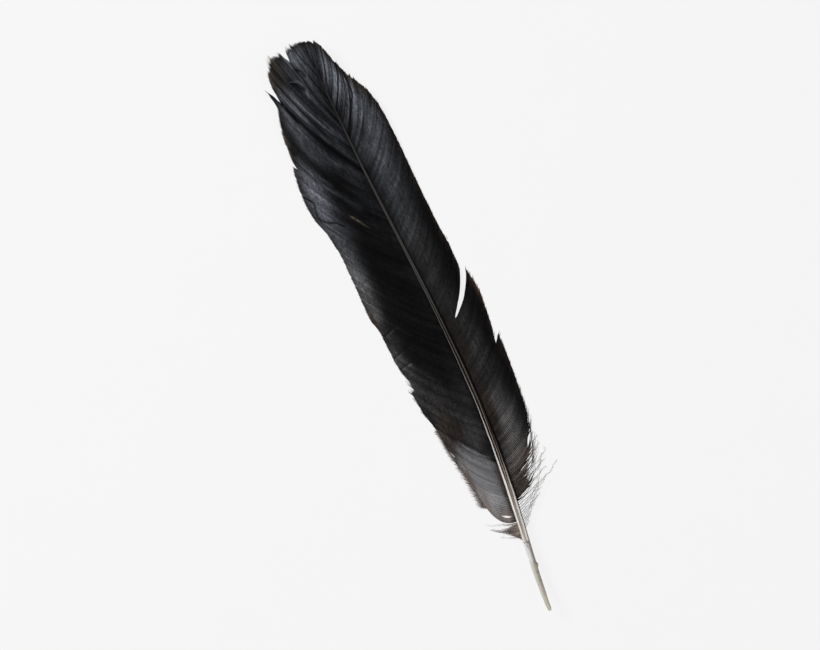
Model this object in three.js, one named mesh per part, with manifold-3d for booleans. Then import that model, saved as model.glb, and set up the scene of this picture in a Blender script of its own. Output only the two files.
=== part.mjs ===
// A quill pen cut from a crow's tail feather, lying on its back with the grooved belly of the shaft up.
// Frame: +X runs from the nib to the feather's tip, +Y towards the wide vane, +Z up from the table.
// Lengths are millimetres and angles degrees. Every "station" table holds [distance from the nib, value].

import * as THREE from "three";
import { mergeVertices } from "three/addons/utils/BufferGeometryUtils.js";
import Module from "manifold-3d";

const wasm = await Module();
wasm.setup();

// ---------------------------------------------------------------- driving dimensions

const OVERALL_LENGTH = 200;
const BARREL_LENGTH = 23.5; // the bare hollow tube that is held in the fingers and cut to a nib
const SHAFT_END = 192;
const JOINT_GAP = 0.2; // between the barrel's end and the shaft's, and between neighbouring pieces
const FIT_GAP = 0.06; // round the pieces that lie inside the barrel and the shaft

const SHAFT_SIDE = [
  [0, -0.1], [10, -0.85], [20, -1.9], [30, -3.15], [45, -4.75], [60, -5.85],
  [80, -6.35], [105, -5.8], [130, -4.5], [155, -3.1], [180, -2.3], [193, -1.8],
];
const SHAFT_WIDTH = [
  [0, 1.6], [4, 1.75], [10, 2.0], [24, 2.4], [36, 2.6], [60, 2.3],
  [80, 1.95], [105, 1.55], [130, 1.15], [155, 0.85], [180, 0.5], [193, 0.3],
];
const SHAFT_DEPTH = [
  [0, 1.6], [4, 1.7], [10, 1.95], [24, 2.3], [36, 2.4], [60, 2.1],
  [80, 1.75], [105, 1.35], [130, 1.0], [155, 0.75], [180, 0.45], [193, 0.3],
];

// The shaft's back lies flat on the table between these stations and curves up towards both ends.
const FLAT_START = 55;
const FLAT_END = 130;
const NIB_LIFT = 4;
const TIP_LIFT = 5;

const BARREL_WALL = 0.32;
const BARREL_SIDES = 20;
const NIB_SHOULDER = 4.2; // where the scoop runs out under the nib's roof
const SCOOP_LENGTH = 7.5;
const SLIT_LENGTH = 3.5;
const SLIT_TIP_WIDTH = 0.14;
const SLIT_END_WIDTH = 0.06;

// The nib's cut sides in plan: [x, y] at the tip, at the bend and where the cut runs out.
const NIB_CUT_LEFT = [[0, 0.25], [2.2, 0.62], [4.8, 0.63]];
const NIB_CUT_RIGHT = [[0, -0.66], [1, -1], [2.4, -1.12]];

// A scar that stands out from the barrel on the narrow vane's side.
const SCAR_AT = 14.9;
const SCAR_RISE = 0.38;
const SCAR_REACH = 0.7;

const PULP_CAPS = 5;
const FIRST_CAP = 9.5;
const CAP_SPACING = 2.5;
const CAP_THICKNESS = 0.12;
const CAP_RISE = 1.1; // height of a cap, as a share of its radius
const CAP_SIDES = 14;
const PLUG_START = 21.4; // where the plug of pith at the barrel's end begins

const SHEATH_WALL = 0.25;
const GROOVE_FLOOR = 0.78; // height of the groove's floor, as a share of the shaft's depth
const PITH_END = 110;

const VANE_THICKNESS = 0.3;
const ROOT_HEIGHT = 0.4; // where a vane leaves the shaft, as a share of the shaft's depth
const BARB_BOW = 0.55; // how far along its chord a barb keeps the direction of its root
const BARB_SPACING = 3.2; // between the modelled lines of a vane
const VANE_STEPS = 9; // from the shaft to the vane's edge
const LEFT_CROWN = [[31, 0.7], [60, 1.6], [100, 2.1], [150, 2.0], [175, 1.1], [191, 0.3]];
const RIGHT_CROWN = [[41, 0.7], [60, 1.3], [100, 1.7], [150, 1.6], [175, 0.9], [191, 0.3]];

const DOWN_ROOT_RADIUS = 0.2;
const DOWN_TIP_RADIUS = 0.1;
const DOWN_STEPS = 6;
const DOWN_SIDES = 5;

const LEFT = 1;
const RIGHT = -1;

// Each vane has parted into tracts. A tract's guides are barbs, as [root, tip x, tip y, root angle].
const VANE_TRACTS = [
  {
    name: "vane_left_base",
    side: LEFT,
    guides: [[30.6, 40.5, 5.9, 80], [36, 50, 7.0, 62], [43, 61, 8.9, 52], [50.3, 72.6, 11.0, 46]],
  },
  {
    name: "vane_left_lower",
    side: LEFT,
    guides: [[51, 73.2, 11.3, 45], [57, 79.5, 12.4, 45], [62.5, 84.2, 12.6, 46]],
  },
  {
    name: "vane_left_middle",
    side: LEFT,
    guides: [
      [63.1, 84.9, 12.2, 46], [70, 94, 13.3, 46], [78, 103, 13.5, 46], [82, 109, 15.1, 46],
      [92, 120, 15.1, 46], [104, 134, 15.4, 46], [113, 145.5, 18.4, 46], [121, 155, 18.95, 46],
      [131.6, 164.2, 17.5, 45],
    ],
  },
  {
    name: "vane_left_upper",
    side: LEFT,
    guides: [
      [132.3, 164.9, 17.2, 45], [140, 172.5, 16.8, 44], [146, 178.5, 15.7, 41],
      [150, 183.5, 14.7, 38], [153.4, 189.7, 15.9, 36.5],
    ],
  },
  {
    name: "vane_left_shoulder",
    side: LEFT,
    guides: [
      [154.3, 185, 12.8, 40], [157.5, 190.5, 13.5, 38], [161, 195.6, 12.4, 35],
      [165, 198.4, 10.4, 28], [169.9, 199.2, 6.8, 21],
    ],
  },
  {
    name: "vane_left_tip",
    side: LEFT,
    guides: [[170.9, 197, 4.4, 18], [174, 199.4, 3.3, 20], [181, 200.1, 1.6, 18], [190.5, 200.2, 0.3, 12]],
  },
  {
    name: "vane_right_tip",
    side: RIGHT,
    guides: [[181, 196.6, -6, 33], [186, 199.3, -3, 22], [190.5, 200.1, -0.6, 10]],
  },
  {
    name: "vane_right_notch",
    side: RIGHT,
    guides: [[174.5, 189.5, -8.7, 40], [180.3, 195.4, -6.7, 35]],
  },
  {
    name: "vane_right_shoulder",
    side: RIGHT,
    guides: [[165.5, 181, -12.6, 46], [168, 183.5, -11.4, 44], [173.8, 188.4, -9, 41]],
  },
  {
    name: "vane_right_upper",
    side: RIGHT,
    guides: [
      [95, 113.4, -18.8, 47], [98, 117.5, -18.6, 50], [103, 122, -18.4, 51], [112, 130, -17.7, 50],
      [125, 142, -17.4, 50], [140, 157, -17, 50], [152, 169, -16.3, 50], [159, 175, -15.3, 48],
      [164.8, 180.2, -13.1, 47],
    ],
  },
  {
    name: "vane_right_middle",
    side: RIGHT,
    guides: [
      [74.4, 89.6, -20.2, 52], [79, 95, -21.1, 53], [84, 102, -21.8, 54], [90, 108, -20.9, 56],
      [94.2, 112, -20.2, 57],
    ],
  },
  {
    name: "vane_right_base",
    side: RIGHT,
    guides: [
      [41, 49.5, -17.2, 67], [45, 55, -19, 64], [50, 61, -20.1, 61], [56, 68, -20.7, 59],
      [62, 75, -21, 57], [68, 82, -21.3, 55], [73.8, 88.6, -21.8, 52],
    ],
  },
];

// Free downy barbs below each vane, in the same form as the guides.
const DOWN_LEFT = [
  [24.6, 27.3, 4.4, 75], [25.6, 29.2, 4.6, 72], [26.6, 30.7, 6.9, 70], [27.7, 33.2, 7.4, 74],
  [28.9, 30.2, 2.2, 85],
];
const DOWN_RIGHT = [
  [28, 31.4, -8.4, 60], [29.2, 33.4, -10.4, 62], [30.4, 35.2, -12.2, 64], [31.6, 36.6, -15.2, 66],
  [32.8, 38.2, -15.6, 68], [34, 39.8, -17.8, 68], [35.2, 43.2, -21.4, 70], [36.4, 42.6, -18.2, 70],
  [37.6, 44.4, -19.6, 70], [38.8, 45.6, -17.8, 70], [40, 47.6, -19.2, 69],
];

// ---------------------------------------------------------------- materials

const keratin = (color, roughness) => new THREE.MeshStandardMaterial({ color, roughness, metalness: 0 });
const BARREL_HORN = keratin("#cfcbbd", 0.35);
const PULP_SKIN = keratin("#b9ab94", 0.6);
const PITH_FOAM = keratin("#e6dfd0", 0.9);
const SHAFT_HORN = keratin("#6d655c", 0.45);
const VANE_BLACK = keratin("#1b1b1e", 0.55);
const DOWN_GREY = keratin("#6b625c", 0.85);

// ---------------------------------------------------------------- smooth station tables

// A function that passes smoothly through [x, value] stations.
function through(stations) {
  const last = stations.length - 1;
  const slope = (i) => {
    const [x0, v0] = stations[Math.max(i - 1, 0)];
    const [x1, v1] = stations[Math.min(i + 1, last)];
    return (v1 - v0) / (x1 - x0);
  };
  return (x) => {
    const after = stations.findIndex(([station]) => station > x);
    const i = THREE.MathUtils.clamp(after < 0 ? last - 1 : after - 1, 0, last - 1);
    const [x0, v0] = stations[i];
    const [x1, v1] = stations[i + 1];
    const span = x1 - x0;
    const u = THREE.MathUtils.clamp((x - x0) / span, 0, 1);
    const cubic = (2 * u - 3) * u * u;
    return (
      v0 * (cubic + 1) - v1 * cubic + span * (slope(i) * u * (u - 1) ** 2 + slope(i + 1) * u * u * (u - 1))
    );
  };
}

const shaftSide = through(SHAFT_SIDE);
const shaftWidth = through(SHAFT_WIDTH);
const shaftDepth = through(SHAFT_DEPTH);
const crown = { [LEFT]: through(LEFT_CROWN), [RIGHT]: through(RIGHT_CROWN) };

// Height of the shaft's back above the table.
function backHeight(x) {
  if (x < FLAT_START) return NIB_LIFT * ((FLAT_START - x) / FLAT_START) ** 2;
  if (x > FLAT_END) return TIP_LIFT * ((x - FLAT_END) / (OVERALL_LENGTH - FLAT_END)) ** 2;
  return 0;
}

// ---------------------------------------------------------------- closed surfaces

function indexed(points, faces) {
  const geometry = new THREE.BufferGeometry();
  geometry.setAttribute("position", new THREE.Float32BufferAttribute(points.flat(), 3));
  geometry.setIndex(faces.flat());
  return geometry;
}

// The faces between neighbouring rings of n points each.
function sideFaces(rings, n) {
  const faces = [];
  for (let r = 0; r + 1 < rings; r++) {
    for (let i = 0; i < n; i++) {
      const a = r * n + i;
      const b = r * n + ((i + 1) % n);
      faces.push([a, b, b + n], [a, b + n, a + n]);
    }
  }
  return faces;
}

// A closed skin over rings of points, all of one length and counter-clockwise seen from the last ring.
function loft(rings) {
  const n = rings[0].length;
  const faces = sideFaces(rings.length, n);
  const flat = (ring) => ring.map(([, y, z]) => new THREE.Vector2(y, z));
  const lastRing = (rings.length - 1) * n;
  for (const [a, b, c] of THREE.ShapeUtils.triangulateShape(flat(rings[0]), [])) faces.push([c, b, a]);
  for (const [a, b, c] of THREE.ShapeUtils.triangulateShape(flat(rings.at(-1)), []))
    faces.push([lastRing + a, lastRing + b, lastRing + c]);
  return indexed(rings.flat(), faces);
}

// A closed slab on a grid of mid-surface points, thickness measured along Z.
function slab(grid, thickness) {
  const rows = grid.length;
  const columns = grid[0].length;
  const layer = (shift) => grid.flat().map(([x, y, z]) => [x, y, z + shift]);
  const points = [...layer(thickness / 2), ...layer(-thickness / 2)];
  const under = rows * columns;
  const at = (i, j) => i * columns + j;
  const faces = [];
  const quad = (a, b, c, d) => faces.push([a, b, c], [a, c, d]);
  for (let i = 0; i + 1 < rows; i++) {
    for (let j = 0; j + 1 < columns; j++) {
      quad(at(i, j), at(i + 1, j), at(i + 1, j + 1), at(i, j + 1));
      quad(under + at(i, j), under + at(i, j + 1), under + at(i + 1, j + 1), under + at(i + 1, j));
    }
  }
  const border = [];
  for (let i = 0; i + 1 < rows; i++) border.push(at(i, 0));
  for (let j = 0; j + 1 < columns; j++) border.push(at(rows - 1, j));
  for (let i = rows - 1; i > 0; i--) border.push(at(i, columns - 1));
  for (let j = columns - 1; j > 0; j--) border.push(at(0, j));
  border.forEach((a, k) => {
    const b = border[(k + 1) % border.length];
    quad(a, under + a, under + b, b);
  });
  return indexed(points, faces);
}

// ---------------------------------------------------------------- boolean cuts

function solidOf(geometry) {
  const bare = geometry.clone();
  bare.deleteAttribute("normal");
  bare.deleteAttribute("uv");
  const merged = mergeVertices(bare, 1e-4);
  const vertProperties = merged.attributes.position.array;
  const triVerts = new Uint32Array(merged.index.array);
  return new wasm.Manifold(new wasm.Mesh({ numProp: 3, vertProperties, triVerts }));
}

// The geometry with every tool cut away.
function cut(geometry, ...tools) {
  const solid = tools.reduce((left, tool) => left.subtract(solidOf(tool)), solidOf(geometry));
  const { vertProperties, triVerts, numProp } = solid.getMesh();
  const points = [];
  for (let i = 0; i < vertProperties.length; i += numProp) points.push([...vertProperties.slice(i, i + 3)]);
  return indexed(points, [...triVerts]);
}

function stations(from, to, step) {
  const count = Math.max(2, Math.round((to - from) / step));
  return Array.from({ length: count + 1 }, (_, i) => from + ((to - from) * i) / count);
}

// ---------------------------------------------------------------- barrel and nib

// An oval ring round the shaft's axis, inset from its surface.
function barrelRing(x, inset, sides = BARREL_SIDES) {
  const centre = backHeight(x) + shaftDepth(x) / 2;
  return Array.from({ length: sides }, (_, i) => {
    const turn = (2 * Math.PI * (i + 0.5)) / sides;
    const y = shaftSide(x) + (shaftWidth(x) / 2 - inset) * Math.cos(turn);
    return [x, y, centre + (shaftDepth(x) / 2 - inset) * Math.sin(turn)];
  });
}

// The barrel's outer ring, with the scar standing out on one side.
function scarredRing(x) {
  const rise = SCAR_RISE * Math.exp(-(((x - SCAR_AT) / SCAR_REACH) ** 2));
  return barrelRing(x, 0).map(([at, y, z]) => {
    const across = (y - shaftSide(x)) / (shaftWidth(x) / 2);
    return [at, y - rise * Math.max(0, -across) ** 2, z];
  });
}

const TOOL_HEIGHT = 12;

function pushed(outline, depth) {
  return new THREE.ExtrudeGeometry(outline, { depth, bevelEnabled: false, curveSegments: 8 });
}

// The scoop that opens the underside of the nib, as an outline in X and Z pushed across Y.
function scoopTool() {
  const reach = 3;
  const floor = backHeight(0) - reach;
  const roof = backHeight(0) + 0.62 * shaftDepth(0);
  const outline = new THREE.Shape();
  outline.moveTo(-1, floor);
  outline.lineTo(SCOOP_LENGTH, floor);
  outline.lineTo(SCOOP_LENGTH, backHeight(SCOOP_LENGTH));
  outline.quadraticCurveTo(NIB_SHOULDER + 1, roof - 0.45, NIB_SHOULDER - 0.6, roof - 0.25);
  outline.lineTo(-1, roof + 0.1);
  return pushed(outline, 2 * reach).rotateX(Math.PI / 2).translate(0, reach, 0);
}

// What falls away beside the nib on one side, as an outline in X and Y pushed up through Z.
function nibSideTool(side, [tip, bend, end]) {
  const reach = 3;
  const outline = new THREE.Shape();
  outline.moveTo(-1, tip[1] - side * 0.1);
  outline.lineTo(...tip);
  outline.quadraticCurveTo(...bend, ...end);
  outline.lineTo(end[0], end[1] + side * reach);
  outline.lineTo(-1, tip[1] + side * reach);
  return pushed(outline, TOOL_HEIGHT).translate(0, 0, -2);
}

// The slit that splits the nib down its middle.
function slitTool() {
  const outline = new THREE.Shape();
  const end = shaftSide(SLIT_LENGTH);
  const tip = (NIB_CUT_LEFT[0][1] + NIB_CUT_RIGHT[0][1]) / 2;
  outline.moveTo(-1, tip - SLIT_TIP_WIDTH / 2);
  outline.lineTo(SLIT_LENGTH, end - SLIT_END_WIDTH / 2);
  outline.lineTo(SLIT_LENGTH, end + SLIT_END_WIDTH / 2);
  outline.lineTo(-1, tip + SLIT_TIP_WIDTH / 2);
  return pushed(outline, TOOL_HEIGHT).translate(0, 0, -2);
}

function barrel() {
  const outside = loft(stations(0, BARREL_LENGTH, 0.7).map(scarredRing));
  const bore = loft(stations(-1, BARREL_LENGTH + 1, 2).map((x) => barrelRing(x, BARREL_WALL)));
  const sides = [nibSideTool(LEFT, NIB_CUT_LEFT), nibSideTool(RIGHT, NIB_CUT_RIGHT)];
  return cut(outside, bore, scoopTool(), ...sides, slitTool());
}

// A dome's profile from its top to its rim.
function dome(radius, rise) {
  const shares = [0, 0.35, 0.7, 1];
  return shares.map((share) => new THREE.Vector2(radius * share, rise * Math.sqrt(1 - share * share)));
}

// A thin dried cup of pulp skin, hollow side towards the nib, that fills the bore at station x.
function pulpCap(x) {
  const radius = Math.min(shaftWidth(x), shaftDepth(x)) / 2 - BARREL_WALL - FIT_GAP;
  const rise = CAP_RISE * radius;
  const profile = [...dome(radius - CAP_THICKNESS, rise - CAP_THICKNESS), ...dome(radius, rise).reverse()];
  return placeOnAxis(new THREE.LatheGeometry(profile, CAP_SIDES), x);
}

// Turns a piece whose axis is Y to lie along the shaft at station x.
function placeOnAxis(geometry, x) {
  const step = 0.5;
  const axisPoint = (at) => new THREE.Vector3(at, shaftSide(at), backHeight(at) + shaftDepth(at) / 2);
  const direction = axisPoint(x + step).sub(axisPoint(x - step)).normalize();
  const turn = new THREE.Quaternion().setFromUnitVectors(new THREE.Vector3(0, 1, 0), direction);
  const centre = axisPoint(x);
  return geometry.applyQuaternion(turn).translate(centre.x, centre.y, centre.z);
}

// The plug of pith that closes the barrel below the shaft.
function umbilicusPlug() {
  const rings = stations(PLUG_START, BARREL_LENGTH, 0.5).map((x) => {
    const taper = (BARREL_LENGTH - x) / (BARREL_LENGTH - PLUG_START);
    return barrelRing(x, BARREL_WALL + FIT_GAP + 0.45 * taper ** 2, 12);
  });
  return loft(rings);
}

// ---------------------------------------------------------------- shaft

// The shaft's section as shares of its half width and depth: flat back, upright sides, grooved belly.
const SECTION = [
  [-0.5, 0], [0.5, 0], [0.88, 0.14], [1, 0.42], [0.98, 0.72], [0.78, 0.93], [0.42, 1],
  [0, GROOVE_FLOOR], [-0.42, 1], [-0.78, 0.93], [-0.98, 0.72], [-1, 0.42], [-0.88, 0.14],
];

function shaftRing(x) {
  return SECTION.map(([across, up]) => [
    x,
    shaftSide(x) + (across * shaftWidth(x)) / 2,
    backHeight(x) + up * shaftDepth(x),
  ]);
}

// The core's section: an octagon inside the sheath, inset by the wall.
function coreRing(x, inset) {
  const halfWidth = shaftWidth(x) / 2 - inset;
  const low = backHeight(x) + inset;
  const high = backHeight(x) + GROOVE_FLOOR * shaftDepth(x) - inset;
  const share = [
    [-0.5, 0], [0.5, 0], [0.85, 0.25], [0.85, 0.75], [0.4, 1], [-0.4, 1], [-0.85, 0.75], [-0.85, 0.25],
  ];
  return share.map(([across, up]) => [x, shaftSide(x) + across * halfWidth, low + up * (high - low)]);
}

function sheath() {
  const start = BARREL_LENGTH + JOINT_GAP;
  const outside = loft(stations(start, SHAFT_END, 5).map(shaftRing));
  const cavity = loft(stations(start - 1, PITH_END, 8).map((x) => coreRing(x, SHEATH_WALL)));
  return cut(outside, cavity);
}

function pith() {
  const from = BARREL_LENGTH + JOINT_GAP + FIT_GAP;
  return loft(stations(from, PITH_END - 1, 8).map((x) => coreRing(x, SHEATH_WALL + FIT_GAP)));
}

// ---------------------------------------------------------------- vanes and down

// A barb's line in plan: it leaves the shaft at its root angle and bends towards its tip.
function barbLine(side, [root, tipX, tipY, angle]) {
  const start = new THREE.Vector2(root, shaftSide(root) + side * (shaftWidth(root) / 2 + JOINT_GAP));
  const end = new THREE.Vector2(tipX, tipY);
  const reach = BARB_BOW * start.distanceTo(end);
  const turn = THREE.MathUtils.degToRad(angle);
  const bend = new THREE.Vector2(start.x + reach * Math.cos(turn), start.y + side * reach * Math.sin(turn));
  return new THREE.QuadraticBezierCurve(start, bend, end);
}

// Height of a vane's middle: it leaves the shaft's side, rises to a crown and comes down to the table.
function vaneHeight(side, root, x, t) {
  const fromShaft = (1 - t) * ROOT_HEIGHT * shaftDepth(root);
  return backHeight(x) + VANE_THICKNESS / 2 + fromShaft + crown[side](root) * Math.sin(Math.PI * t);
}

function vaneTract({ side, guides }) {
  const roots = guides.map(([root]) => root);
  const along = [1, 2, 3].map((k) => through(guides.map((guide) => [guide[0], guide[k]])));
  const grid = stations(roots[0], roots.at(-1), BARB_SPACING).map((root) => {
    const line = barbLine(side, [root, ...along.map((value) => value(root))]);
    const height = (x, j) => vaneHeight(side, root, x, j / VANE_STEPS);
    return line.getPoints(VANE_STEPS).map(({ x, y }, j) => [x, y, height(x, j)]);
  });
  return slab(side === LEFT ? grid : grid.reverse(), VANE_THICKNESS);
}

function downyBarb(side, guide) {
  const line = barbLine(side, guide);
  const rings = line.getPoints(DOWN_STEPS).map(({ x, y }, j) => {
    const t = j / DOWN_STEPS;
    const radius = THREE.MathUtils.lerp(DOWN_ROOT_RADIUS, DOWN_TIP_RADIUS, t);
    const across = line.getTangent(t).rotateAround(new THREE.Vector2(), Math.PI / 2);
    const height = vaneHeight(side, guide[0], x, t) + DOWN_ROOT_RADIUS;
    return Array.from({ length: DOWN_SIDES }, (_, k) => {
      const turn = (2 * Math.PI * k) / DOWN_SIDES;
      const out = radius * Math.cos(turn);
      return [x + across.x * out, y + across.y * out, height + radius * Math.sin(turn)];
    });
  });
  return tube(rings);
}

// A closed skin over rings that may face any way, with fans for its ends.
function tube(rings) {
  const n = rings[0].length;
  const faces = sideFaces(rings.length, n);
  const lastRing = (rings.length - 1) * n;
  for (let i = 1; i + 1 < n; i++) {
    faces.push([0, i + 1, i], [lastRing, lastRing + i, lastRing + i + 1]);
  }
  return indexed(rings.flat(), faces);
}

// ---------------------------------------------------------------- assembly

const feather = new THREE.Group();

function addPiece(name, geometry, material) {
  const mesh = new THREE.Mesh(geometry, material);
  mesh.name = name;
  feather.add(mesh);
}

addPiece("barrel_with_nib", barrel(), BARREL_HORN);
for (let i = 0; i < PULP_CAPS; i++) {
  addPiece(`pulp_cap_${i + 1}`, pulpCap(FIRST_CAP + i * CAP_SPACING), PULP_SKIN);
}
addPiece("umbilicus_plug", umbilicusPlug(), PITH_FOAM);
addPiece("shaft_sheath", sheath(), SHAFT_HORN);
addPiece("shaft_pith", pith(), PITH_FOAM);
for (const tract of VANE_TRACTS) addPiece(tract.name, vaneTract(tract), VANE_BLACK);
DOWN_LEFT.forEach((guide, i) => addPiece(`downy_barb_left_${i + 1}`, downyBarb(LEFT, guide), DOWN_GREY));
DOWN_RIGHT.forEach((guide, i) => addPiece(`downy_barb_right_${i + 1}`, downyBarb(RIGHT, guide), DOWN_GREY));

// The origin is on the table, under the middle of the pen's outline.
const outline = new THREE.Box3().setFromObject(feather, true);
const middle = outline.getCenter(new THREE.Vector3());
feather.position.set(-middle.x, -middle.y, -outline.min.z);

const pen = new THREE.Group();
pen.add(feather);

export default pen;
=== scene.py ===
"""Looks of the quill pen: a crow's tail feather on its back, every barb of its vanes a piece of its own form.

Lengths in the tables are millimetres in the pen's own plan: x from the nib, y towards the wide vane,
z up from the table. pen() turns them into the row frame, metres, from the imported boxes.
"""

import math

import bpy
import numpy as np
from mathutils import Matrix, Vector


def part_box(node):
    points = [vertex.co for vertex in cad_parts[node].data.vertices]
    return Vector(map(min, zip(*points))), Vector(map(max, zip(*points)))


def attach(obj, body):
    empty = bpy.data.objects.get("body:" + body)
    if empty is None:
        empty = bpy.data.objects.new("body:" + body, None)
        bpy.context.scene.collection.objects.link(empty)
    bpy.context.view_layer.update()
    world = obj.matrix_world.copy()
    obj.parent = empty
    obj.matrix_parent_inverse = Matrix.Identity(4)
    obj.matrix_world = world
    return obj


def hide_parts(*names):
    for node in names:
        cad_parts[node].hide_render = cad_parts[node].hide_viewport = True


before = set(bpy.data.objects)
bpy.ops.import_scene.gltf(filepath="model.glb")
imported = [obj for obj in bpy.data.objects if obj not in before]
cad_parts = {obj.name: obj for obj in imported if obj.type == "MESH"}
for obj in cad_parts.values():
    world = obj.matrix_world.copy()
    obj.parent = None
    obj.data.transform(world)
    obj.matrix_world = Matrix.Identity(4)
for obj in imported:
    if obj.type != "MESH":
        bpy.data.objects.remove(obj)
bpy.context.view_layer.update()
rng = np.random.default_rng(11)

LEFT, RIGHT = 1, -1

# ---------------- the pen's form, as the CAD has it

# The shaft's middle line as [x, y], its width and depth as [x, width, depth], and how high the vanes arch.
SHAFT_SIDE = [
    [0, -0.1], [10, -0.85], [20, -1.9], [30, -3.15], [45, -4.75], [60, -5.85], [80, -6.35], [105, -5.8],
    [130, -4.5], [155, -3.1], [180, -2.3], [193, -1.8],
]
SHAFT_SIZE = [
    [0, 1.6, 1.6], [4, 1.75, 1.7], [10, 2, 1.95], [24, 2.4, 2.3], [36, 2.6, 2.4], [60, 2.3, 2.1],
    [80, 1.95, 1.75], [105, 1.55, 1.35], [130, 1.15, 1], [155, 0.85, 0.75], [180, 0.5, 0.45],
    [193, 0.3, 0.3],
]
LEFT_CROWN = [[31, 0.7], [60, 1.6], [100, 2.1], [150, 2.0], [175, 1.1], [191, 0.3]]
RIGHT_CROWN = [[41, 0.7], [60, 1.3], [100, 1.7], [150, 1.6], [175, 0.9], [191, 0.3]]
FLAT_START, FLAT_END, NIB_LIFT, TIP_LIFT, LENGTH = 55, 130, 4, 5, 200
ROOT_HEIGHT, BARB_BOW = 0.4, 0.55
BARREL_LENGTH, SHAFT_START, SHAFT_END, TIP_END = 23.5, 22.9, 192, 198.6


def through(stations):
    """A function that passes smoothly through [x, value] stations."""
    xs, vs = np.array(stations, float).T
    before, after = np.r_[0, np.arange(len(xs) - 1)], np.r_[np.arange(1, len(xs)), len(xs) - 1]
    slope = (vs[after] - vs[before]) / (xs[after] - xs[before])

    def value(x):
        x = np.clip(x, xs[0], xs[-1])
        i = np.clip(np.searchsorted(xs, x, side="right") - 1, 0, len(xs) - 2)
        span = xs[i + 1] - xs[i]
        u = (x - xs[i]) / span
        cubic = (2 * u - 3) * u * u
        bend = slope[i] * u * (u - 1) ** 2 + slope[i + 1] * u * u * (u - 1)
        return vs[i] * (cubic + 1) - vs[i + 1] * cubic + span * bend

    return value


shaft_side = through(SHAFT_SIDE)
shaft_width, shaft_depth = (through([[x, sizes[k]] for x, *sizes in SHAFT_SIZE]) for k in (0, 1))
crown = {LEFT: through(LEFT_CROWN), RIGHT: through(RIGHT_CROWN)}


def back_height(x):
    """Height of the shaft's back above the table."""
    to_nib = np.clip((FLAT_START - x) / FLAT_START, 0, 2)
    to_tip = np.clip((x - FLAT_END) / (LENGTH - FLAT_END), 0, 2)
    return NIB_LIFT * to_nib**2 + TIP_LIFT * to_tip**2


_reach = np.linspace(BARREL_LENGTH, SHAFT_END, 2000)
_lowest = np.min(shaft_side(_reach) - shaft_width(_reach) / 2)
SHIFT = np.array([
    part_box("barrel_with_nib")[0][0],
    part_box("shaft_sheath")[0][1] - _lowest / 1000,
    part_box("shaft_sheath")[0][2],
])


def pen(points):
    """Millimetres in the pen's plan to metres in the row frame."""
    return np.asarray(points, float) / 1000 + SHIFT


# ---------------- small helpers

def smooth(low, high, x):
    """0 below low, 1 above high and a soft step between them."""
    u = np.clip((x - low) / (high - low), 0, 1)
    return u * u * (3 - 2 * u)


def mix(one, other, amount):
    """Colours that turn from one into the other as the amount goes from 0 to 1."""
    amount = np.asarray(amount)[..., None]
    return np.asarray(one) * (1 - amount) + np.asarray(other) * amount


def ripple(x, period, seed):
    """Smooth noise from -1 to 1 along x, with about that period."""
    table = np.random.default_rng(seed).uniform(-1, 1, 4096)
    s = np.asarray(x, float) / period + 700
    i = np.floor(s).astype(int)
    u = smooth(0, 1, s - i)
    return table[i % 4096] * (1 - u) + table[(i + 1) % 4096] * u


def cloud(x, y, seed):
    """Smooth noise from -1 to 1 over a plane, with a period of about one."""
    table = np.random.default_rng(seed).uniform(-1, 1, (64, 64))
    x, y = np.broadcast_arrays(np.asarray(x, float) + 700, np.asarray(y, float) + 700)
    i, j = np.floor(x).astype(int), np.floor(y).astype(int)
    u, v = smooth(0, 1, x - i), smooth(0, 1, y - j)
    low = table[i % 64, j % 64] * (1 - u) + table[(i + 1) % 64, j % 64] * u
    high = table[i % 64, (j + 1) % 64] * (1 - u) + table[(i + 1) % 64, (j + 1) % 64] * u
    return low * (1 - v) + high * v


def to_line(points, x, y):
    """Distance to a polyline in plan, and the share of its length at the nearest point."""
    points = np.array(points, float)
    lengths = np.linalg.norm(np.diff(points, axis=0), axis=1)
    start = np.r_[0, np.cumsum(lengths)]
    best = np.full(np.shape(x), 1e9)
    share = np.zeros(np.shape(x))
    for (ax, ay), (bx, by), length, along in zip(points[:-1], points[1:], lengths, start):
        u = np.clip(((x - ax) * (bx - ax) + (y - ay) * (by - ay)) / length**2, 0, 1)
        d = np.hypot(x - ax - u * (bx - ax), y - ay - u * (by - ay))
        near = d < best
        best = np.where(near, d, best)
        share = np.where(near, (along + u * length) / start[-1], share)
    return best, share


def stroke(x, y, line, width):
    """A soft line in plan: 1 on it, and fading out over the width."""
    return np.exp(-((to_line(line, x, y)[0] / width) ** 2))


def paint(mesh, tone):
    """Stores a colour for each vertex, which the materials read."""
    rgba = np.ones((len(mesh.vertices), 4), np.float32)
    rgba[:, :np.shape(tone)[1]] = tone
    mesh.color_attributes.new("tone", "FLOAT_COLOR", "POINT").data.foreach_set("color", rgba.ravel())


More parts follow.
